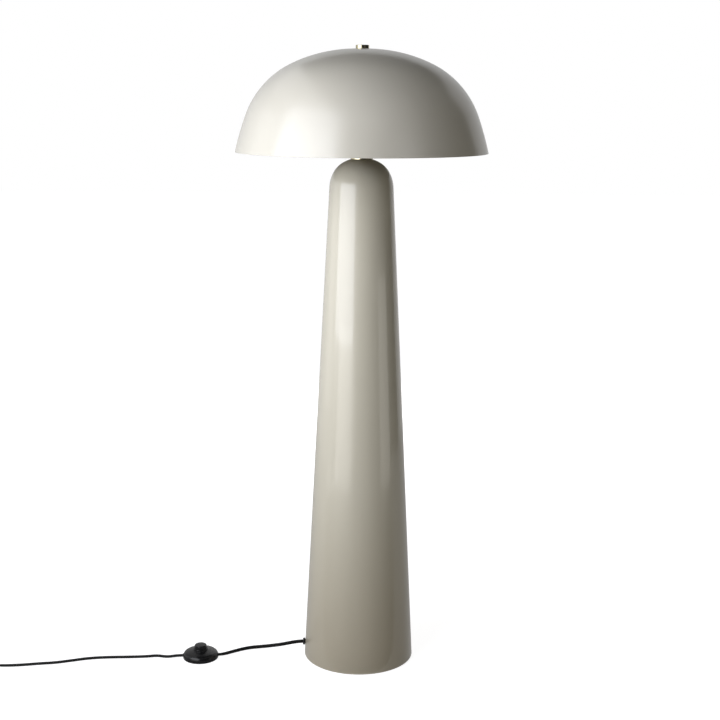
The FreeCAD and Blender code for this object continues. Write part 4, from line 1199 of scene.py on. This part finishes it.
plugPieces = [makeRelief(), makePlugBody(), cadNodes["plug_blades"]]
cordTie = makeTie()
print("plug and tie done")

layCord(
    "lampCord", lampRoute, ["lamp_cord"], 8,
    exit=(-0.1082, 0, 0.0217), length=0.19, far_end="fitting", stiffness="medium", lay="loose",
    with_pieces=switchPieces + [makeGrommets()],
)
layCord(
    "mainsCord", mainsRoute + coilRoute(), ["mains_cord", "cord_coil"], 6,
    exit=(-0.3415, -0.0318, 0.0049), length=1.78, far_end="plug", stiffness="medium", lay="coiled",
    with_pieces=plugPieces + [cordTie],
)
layCord(
    "innerCord", innerRoute(), ["inner_cord"], 4,
    exit=(-0.0856, 0, 0.0217), length=1.02, far_end="object", stiffness="medium", lay="hanging",
)
print("cords done")


harpSize = {
    "wire": 2.0,
    "span": 27.0,
    "straight": 26.0,
    "halfWidth": 47.0,
    "widest": 1068.0,
    "eye": 8.0,
    "eyeThick": 5.0,
    "eyeBite": 1.5,
    "bore": 3.28,
    "ringSteps": 20,
    "steps": 64,
}


def tubeMesh(points, radius, ringSteps):
    # round wire along points in millimetres
    curve, _ = newCurve("wire", "POLY", points)
    curve.bevel_depth = radius * mm
    curve.bevel_resolution = ringSteps // 4
    curve.use_fill_caps = True
    return closedSkin(curve)


def makeHarp():
    size = harpSize
    low, high = heights("harp_bow")
    foot = high - size["eyeThick"]
    middle = high - size["eyeThick"] / 2
    side = [Vector((size["span"], low)), Vector((size["span"], low + size["straight"]))]
    side += biarcPoints(side[-1], (0, 1), (size["halfWidth"], size["widest"]), (0, 1), 12)[1:]
    side += biarcPoints(side[-1], (0, 1), (size["eye"] - size["eyeBite"], middle), (-1, 0), 16)[1:]
    parts = []
    for sign in (1, -1):
        parts.append(tubeMesh([(sign * p.x, 0, p.y) for p in side], size["wire"], size["ringSteps"]))
    parts.append(spunMesh(softened([
        (size["bore"], foot, 0.3),
        (size["eye"], foot, 0.9),
        (size["eye"], high, 0.9),
        (size["bore"], high, 0.3),
    ]), size["steps"]))
    finishPiece(joined(parts), "harpBow", "root", "harp_brass", ["harp_bow"])


sleeveSize = {"bore": 2.08, "outer": 3.38, "collar": 2.0, "slope": 0.3, "waist": 0.35, "steps": 48}


def makeSleeve(name, node, side):
    size = sleeveSize
    low, high = heights(node)
    outer, waist = size["outer"], size["outer"] - size["waist"]
    collar, slope = size["collar"], size["collar"] + size["slope"]
    place = Matrix.Translation((side * harpSize["span"] * mm, 0, 0))
    turnedPiece(name, node, "harp_brass", [node], size, [
        (size["bore"], low, 0.15),
        (outer, low, 0.4),
        (outer, low + collar, 0.1),
        (waist, low + slope, 0.1),
        (waist, high - slope, 0.1),
        (outer, high - collar, 0.1),
        (outer, high, 0.4),
        (size["bore"], high, 0.15),
    ], place)


swivelSize = {
    "head": 5.2,
    "headThick": 2.1,
    "shank": 3.2,
    "flange": 10.5,
    "flangeThick": 2.5,
    "screw": 3.1,
    "steps": 64,
}


def makeSwivel():
    size = swivelSize
    low, high = heights("swivel_stud")
    underside = heights("shade_shell")[1] - shadeSize["wall"]
    headTop, flangeFoot = low + size["headThick"], underside - size["flangeThick"]
    turnedPiece("swivelStud", "shade", "harp_brass", ["swivel_stud"], size, [
        (0.0, low),
        (size["head"], low, 0.8),
        (size["head"], headTop, 0.3),
        (size["shank"], headTop, 0.2),
        (size["shank"], flangeFoot, 0.2),
        (size["flange"], flangeFoot, 0.8),
        (size["flange"], underside, 0.3),
        (size["screw"], underside),
        (size["screw"], high, 0.4),
        (0.0, high),
    ])


holderSize = {
    "hub": 7.0,
    "hubEdge": 0.4,
    "outer": 17.4,
    "wall": 0.7,
    "bore": 5.05,
    "flare": (2.4, 14.4),
    "flareStart": 0.2,
    "flareHeading": (1, 0.25),
    "hubTop": 7.4,
    "grooves": (2.2, 7.8),
    "grooveDeep": 0.35,
    "grooveAt": (0.5, 1.3, 1.8),
    "play": 0.1,
    "beads": (12.5, 16.5),
    "beadReach": 0.5,
    "beadHeight": 1.6,
    "lip": (2.0, 0.7, 0.6),
    "steps": 96,
}


def makeSocketCap():
    size = holderSize
    low, high = heights("socket_cap")
    outer, inner = size["outer"], size["outer"] - size["wall"]
    flareLow, flareHigh = (low + height for height in size["flare"])
    start, hubTop = flareLow + size["flareStart"], low + size["hubTop"]
    hub, heading = size["hub"], size["flareHeading"]
    belly = biarcPoints((hub, start), heading, (outer, flareHigh), (0, 1), 8)
    lining = biarcPoints((hub, start + size["wall"]), heading, (inner, flareHigh), (0, 1), 8)
    stops = [(size["bore"], low), (hub - size["hubEdge"], low, 0.3), (hub, flareLow, 0.3)]
    stops += [tuple(p) for p in belly]
    first, last, end = size["grooveAt"]
    floor = outer - size["grooveDeep"]
    for height in size["grooves"]:
        at = flareHigh + height
        stops += [(outer, at, 0.3), (floor, at + first, 0.2)]
        stops += [(floor, at + last, 0.2), (outer, at + end, 0.3)]
    stops += [(outer, high, 0.3), (inner, high, 0.2)]
    stops += [tuple(p) for p in lining[::-1]]
    stops += [(hub, hubTop, 0.3), (size["bore"], hubTop, 0.2)]
    turnedPiece("socketCap", "root", "socket_brass", ["socket_cap"], size, stops)


def makeSocketShell():
    # two rounded beads and a rolled lip, as on a pressed shell
    size = holderSize
    low, high = heights("socket_shell")
    wide = size["outer"] - size["wall"] - size["play"]
    bore = wide - size["wall"]
    stops = [(bore, low), (wide, low, 0.2)]
    for height in size["beads"]:
        at, end = low + height, low + height + size["beadHeight"]
        stops += [(wide, at, 0.4), (wide + size["beadReach"], (at + end) / 2, 0.5), (wide, end, 0.4)]
    start, top, reach = size["lip"]
    stops += [(wide, high - start, 0.3), (wide + reach, high - top, 0.6)]
    stops += [(wide, high, 0.4), (bore, high, 0.2)]
    turnedPiece("socketShell", "root", "socket_brass", ["socket_shell"], size, stops)


bulbSize = {
    "glass": 30.0,
    "wall": 1.0,
    "neck": 12.7,
    "neckStraight": 4.0,
    "neckHeading": (0.22, 1),
    "cap": 13.0,
    "pitch": 3.6,
    "threads": 5,
    "threadDeep": 0.7,
    "threadStart": 2.7,
    "threadAt": (0.9, 2.7),
    "tip": (9.6, 2.5),
    "rim": 1.6,
    "seat": 2.0,
    "play": 0.05,
    "capWall": 1.5,
    "steps": 96,
}


def bulbOutline(inset, low, high):
    size = bulbSize
    reach, centre = size["glass"] - inset, high - size["glass"]
    start = (size["neck"] - inset, low + size["neckStraight"])
    side = biarcPoints(start, size["neckHeading"], (reach, centre), (0, 1), 14)
    angles = [math.radians(5 * k) for k in range(1, 18)]
    crown = [Vector((math.cos(a) * reach, centre + math.sin(a) * reach)) for a in angles]
    return [Vector((size["neck"] - inset, low))] + side + crown + [Vector((0, high - inset))]


def makeBulb():
    size = bulbSize
    low, high = heights("bulb_glass")
    profile = bulbOutline(0.0, low, high) + bulbOutline(size["wall"], low, high)[::-1]
    finishPiece(spunMesh(profile, size["steps"]), "bulbGlass", "bulb", "opal_glass", ["bulb_glass"], 50)

    low, high = heights("bulb_cap")
    cap, root = size["cap"], size["cap"] - size["threadDeep"]
    mouth, inner = size["neck"] + size["play"], size["neck"] - size["capWall"]
    tipReach, tipHeight = size["tip"]
    crest, hollow = size["threadAt"]
    stops = [(0.0, low), (tipReach, low, 0.3), (root, low + tipHeight, 0.4)]
    for k in range(size["threads"]):
        at = low + size["threadStart"] + k * size["pitch"]
        stops += [(cap, at + crest, 0.7), (root, at + hollow, 0.7)]
    seat, floor = high - size["seat"], low + tipHeight
    stops += [(cap, high - size["rim"], 0.3), (cap, high, 0.3), (mouth, high), (mouth, seat)]
    stops += [(inner, seat), (inner, floor), (0.0, floor)]
    turnedPiece("bulbCap", "bulb", "cap_metal", ["bulb_cap"], size, stops)


makeHarp()
makeSleeve("harpSleeveLeft", "harp_sleeve_left", -1)
makeSleeve("harpSleeveRight", "harp_sleeve_right", 1)
makeSwivel()
makeSocketCap()
makeSocketShell()
makeBulb()
print("harp, lampholder and bulb done")


# finishes on the frame's own pieces
for entry in frame["record"]["subparts"]:
    node = cadNodes[entry["node"]]
    if not node.hide_render:
        node.data.materials.clear()
        node.data.materials.append(finishes[entry["material_slot"]])
print("frame pieces finished")


coolTint = (0.955, 0.98, 1.055)
warmTint = (1.0, 0.98, 0.95)

studio = {
    "floorSize": 24.0,
    "floorTone": (0.14, 0.12, 0.09),
    "floorRoughness": 0.9,
    "floorSpecular": 0.1,
    "floorGlow": (0.87, 1.0),
    "glowReach": (0.5, 1.5),
    "floorShare": 0.4,
    "ambient": (0.048, 0.048, 0.048),
    # place, aim, size, watts, tint
    "lamps": {
        "keySoftbox": ((-0.88, -0.742, 1.05), (0, 0, 1.05), (1.27, 1.06), 18.4, coolTint),
        "upperSoftbox": ((-0.88, -0.742, 1.74), (0, 0, 1.5), (1.27, 0.32), 3.4, coolTint),
        "crownSoftbox": ((-0.88, -0.742, 2.08), (0, 0, 1.5), (1.27, 0.36), 1.2, coolTint),
        "footSoftbox": ((-0.8, -0.9, 0.34), (0, 0, 0.3), (0.9, 0.45), 2.5, (1.0, 0.98, 0.94)),
        "fillSoftbox": ((1.25, -0.5, 0.38), (0, 0, 0.38), (0.7, 0.6), 1.9, (1.0, 0.97, 0.9)),
        "sideSoftbox": ((1.95, -2.15, 1.95), (0, 0, 0.9), (1.0, 1.0), 7.4, warmTint),
        "topSoftbox": ((0.5, -0.9, 2.6), (0, 0, 1.1), (1.6, 1.6), 1.6, warmTint),
        "edgeSoftbox": ((-1.7, 0.3, 1.0), (0, 0, 0.9), (0.8, 1.6), 2.6, (0.98, 0.99, 1.0)),
        "backSoftbox": ((0.3, 2.4, 0.85), (0, 0, 0.75), (1.3, 1.2), 30.0, (1.0, 0.99, 0.97)),
    },
}

# black and grey cloth, as a photographer hangs it: it shows only in reflections
darkCloth = {
    "heights": (0.02, 2.3),
    "curtain": {"reach": 1.9, "from": -14.0, "to": 121.0, "steps": 24, "tone": 0.01},
    "greyCurtain": {"reach": 1.95, "from": 121.0, "to": 346.0, "steps": 36, "tone": 0.62},
    "ceiling": {"corner": (-0.9, -2.0), "far": (2.6, 2.4), "height": 2.6, "tone": 0.01},
    "runner": {"corner": (-1.5, -2.2), "far": (2.2, -0.1), "height": 0.004, "tone": 0.01},
    "apron": {"corner": (-1.9, -0.1), "far": (1.9, 1.9), "height": 0.002, "tone": 0.42},
}


def rayMask(tree):
    # 1 for what the camera, a mirror or glass sees, 0 for light that falls on things
    path = tree.nodes.new("ShaderNodeLightPath")
    seen = mathNode(tree, "MAXIMUM", path.outputs["Is Camera Ray"], path.outputs["Is Glossy Ray"])
    return mathNode(tree, "MAXIMUM", seen, path.outputs["Is Transmission Ray"])


def chooseNode(tree, other, seen, output):
    # one shader for light that falls on things, another for what is seen
    choose = tree.nodes.new("ShaderNodeMixShader")
    tree.links.new(rayMask(tree), choose.inputs["Fac"])
    tree.links.new(other.outputs[0], choose.inputs[1])
    tree.links.new(seen.outputs[0], choose.inputs[2])
    tree.links.new(choose.outputs[0], tree.nodes[output].inputs["Surface"])


def stagePiece(name, bm, material):
    piece = meshObject(name, bm)
    piece.data.materials.append(material)
    return piece


def addFloor():
    bm = bmesh.new()
    bmesh.ops.create_grid(bm, x_segments=1, y_segments=1, size=studio["floorSize"] / 2)
    paper, tree, shader = startFinish("studioPaper")
    setInputs(shader, {
        "Base Color": (*studio["floorTone"], 1),
        "Roughness": studio["floorRoughness"],
        "Specular IOR Level": studio["floorSpecular"],
    })
    # a little darker round the lamp, so that its shadow shows, and plain white further out
    reach = vectorNode(tree, "LENGTH", objectPlace(tree)).outputs["Value"]
    level = rangeNode(tree, reach, *studio["floorGlow"], *studio["glowReach"], "SMOOTHSTEP")
    glow = tree.nodes.new("ShaderNodeEmission")
    glow.inputs["Color"].default_value = (1, 1, 1, 1)
    tree.links.new(level, glow.inputs["Strength"])
    matte = tree.nodes.new("ShaderNodeBsdfDiffuse")
    matte.inputs["Color"].default_value = (*[studio["floorShare"]] * 3, 1)
    lit = tree.nodes.new("ShaderNodeAddShader")
    tree.links.new(glow.outputs[0], lit.inputs[0])
    tree.links.new(matte.outputs[0], lit.inputs[1])
    chooseNode(tree, shader, lit, "Material Output")
    stagePiece("studioFloor", bm, paper)


def addWorld():
    world = bpy.data.worlds.new("studioWorld")
    bpy.context.scene.world = world
    world.use_nodes = True
    tree = world.node_tree
    room = tree.nodes["Background"]
    room.inputs["Color"].default_value = (*studio["ambient"], 1)
    white = tree.nodes.new("ShaderNodeBackground")
    white.inputs["Color"].default_value = (1, 1, 1, 1)
    chooseNode(tree, room, white, "World Output")


def addLamp(name, place, aim, size, watts, tint):
    lamp = bpy.data.lights.new(name, "AREA")
    lamp.shape = "RECTANGLE"
    lamp.size, lamp.size_y = size
    lamp.energy = watts
    lamp.color = tint
    holder = addObject(name, lamp)
    holder.location = place
    holder.rotation_euler = (Vector(aim) - Vector(place)).to_track_quat("-Z", "Y").to_euler()
    holder.visible_camera = False


def hangCloth(name, bm, tone):
    dyed, tree, shader = startFinish(name)
    setInputs(shader, {
        "Base Color": (0, 0, 0, 1),
        "Specular IOR Level": 0.0,
        "Emission Color": (tone, tone, tone, 1),
        "Emission Strength": 1.0,
    })
    cloth = stagePiece(name, bm, dyed)
    cloth.visible_camera = False
    cloth.visible_diffuse = False
    cloth.visible_transmission = False
    cloth.visible_shadow = False


def addDarkCloth():
    for name in ("curtain", "greyCurtain"):
        shape = darkCloth[name]
        bm = bmesh.new()
        start = math.radians(shape["from"] - 90)
        x, y = shape["reach"] * math.cos(start), shape["reach"] * math.sin(start)
        line = [bm.verts.new((x, y, height)) for height in darkCloth["heights"]]
        bmesh.ops.spin(
            bm, geom=line + [bm.edges.new(line)], cent=(0, 0, 0), axis=(0, 0, 1), dvec=(0, 0, 0),
            angle=math.radians(shape["to"] - shape["from"]), steps=shape["steps"],
            use_merge=False, use_normal_flip=False, use_duplicate=False,
        )
        hangCloth(name, bm, shape["tone"])
    for name in ("ceiling", "runner", "apron"):
        shape = darkCloth[name]
        (x0, y0), (x1, y1) = shape["corner"], shape["far"]
        bm = bmesh.new()
        bmesh.ops.create_grid(bm, x_segments=1, y_segments=1, size=0.5)
        middle = Matrix.Translation(((x0 + x1) / 2, (y0 + y1) / 2, shape["height"]))
        spread = Matrix.Diagonal((x1 - x0, y1 - y0, 1, 1))
        bmesh.ops.transform(bm, matrix=middle @ spread, verts=bm.verts[:])
        hangCloth(name, bm, shape["tone"])


addFloor()
addDarkCloth()
addWorld()
for lampName, lampFacts in studio["lamps"].items():
    addLamp(lampName, *lampFacts)
bpy.context.scene.view_settings.view_transform = "Standard"
print("studio ready")
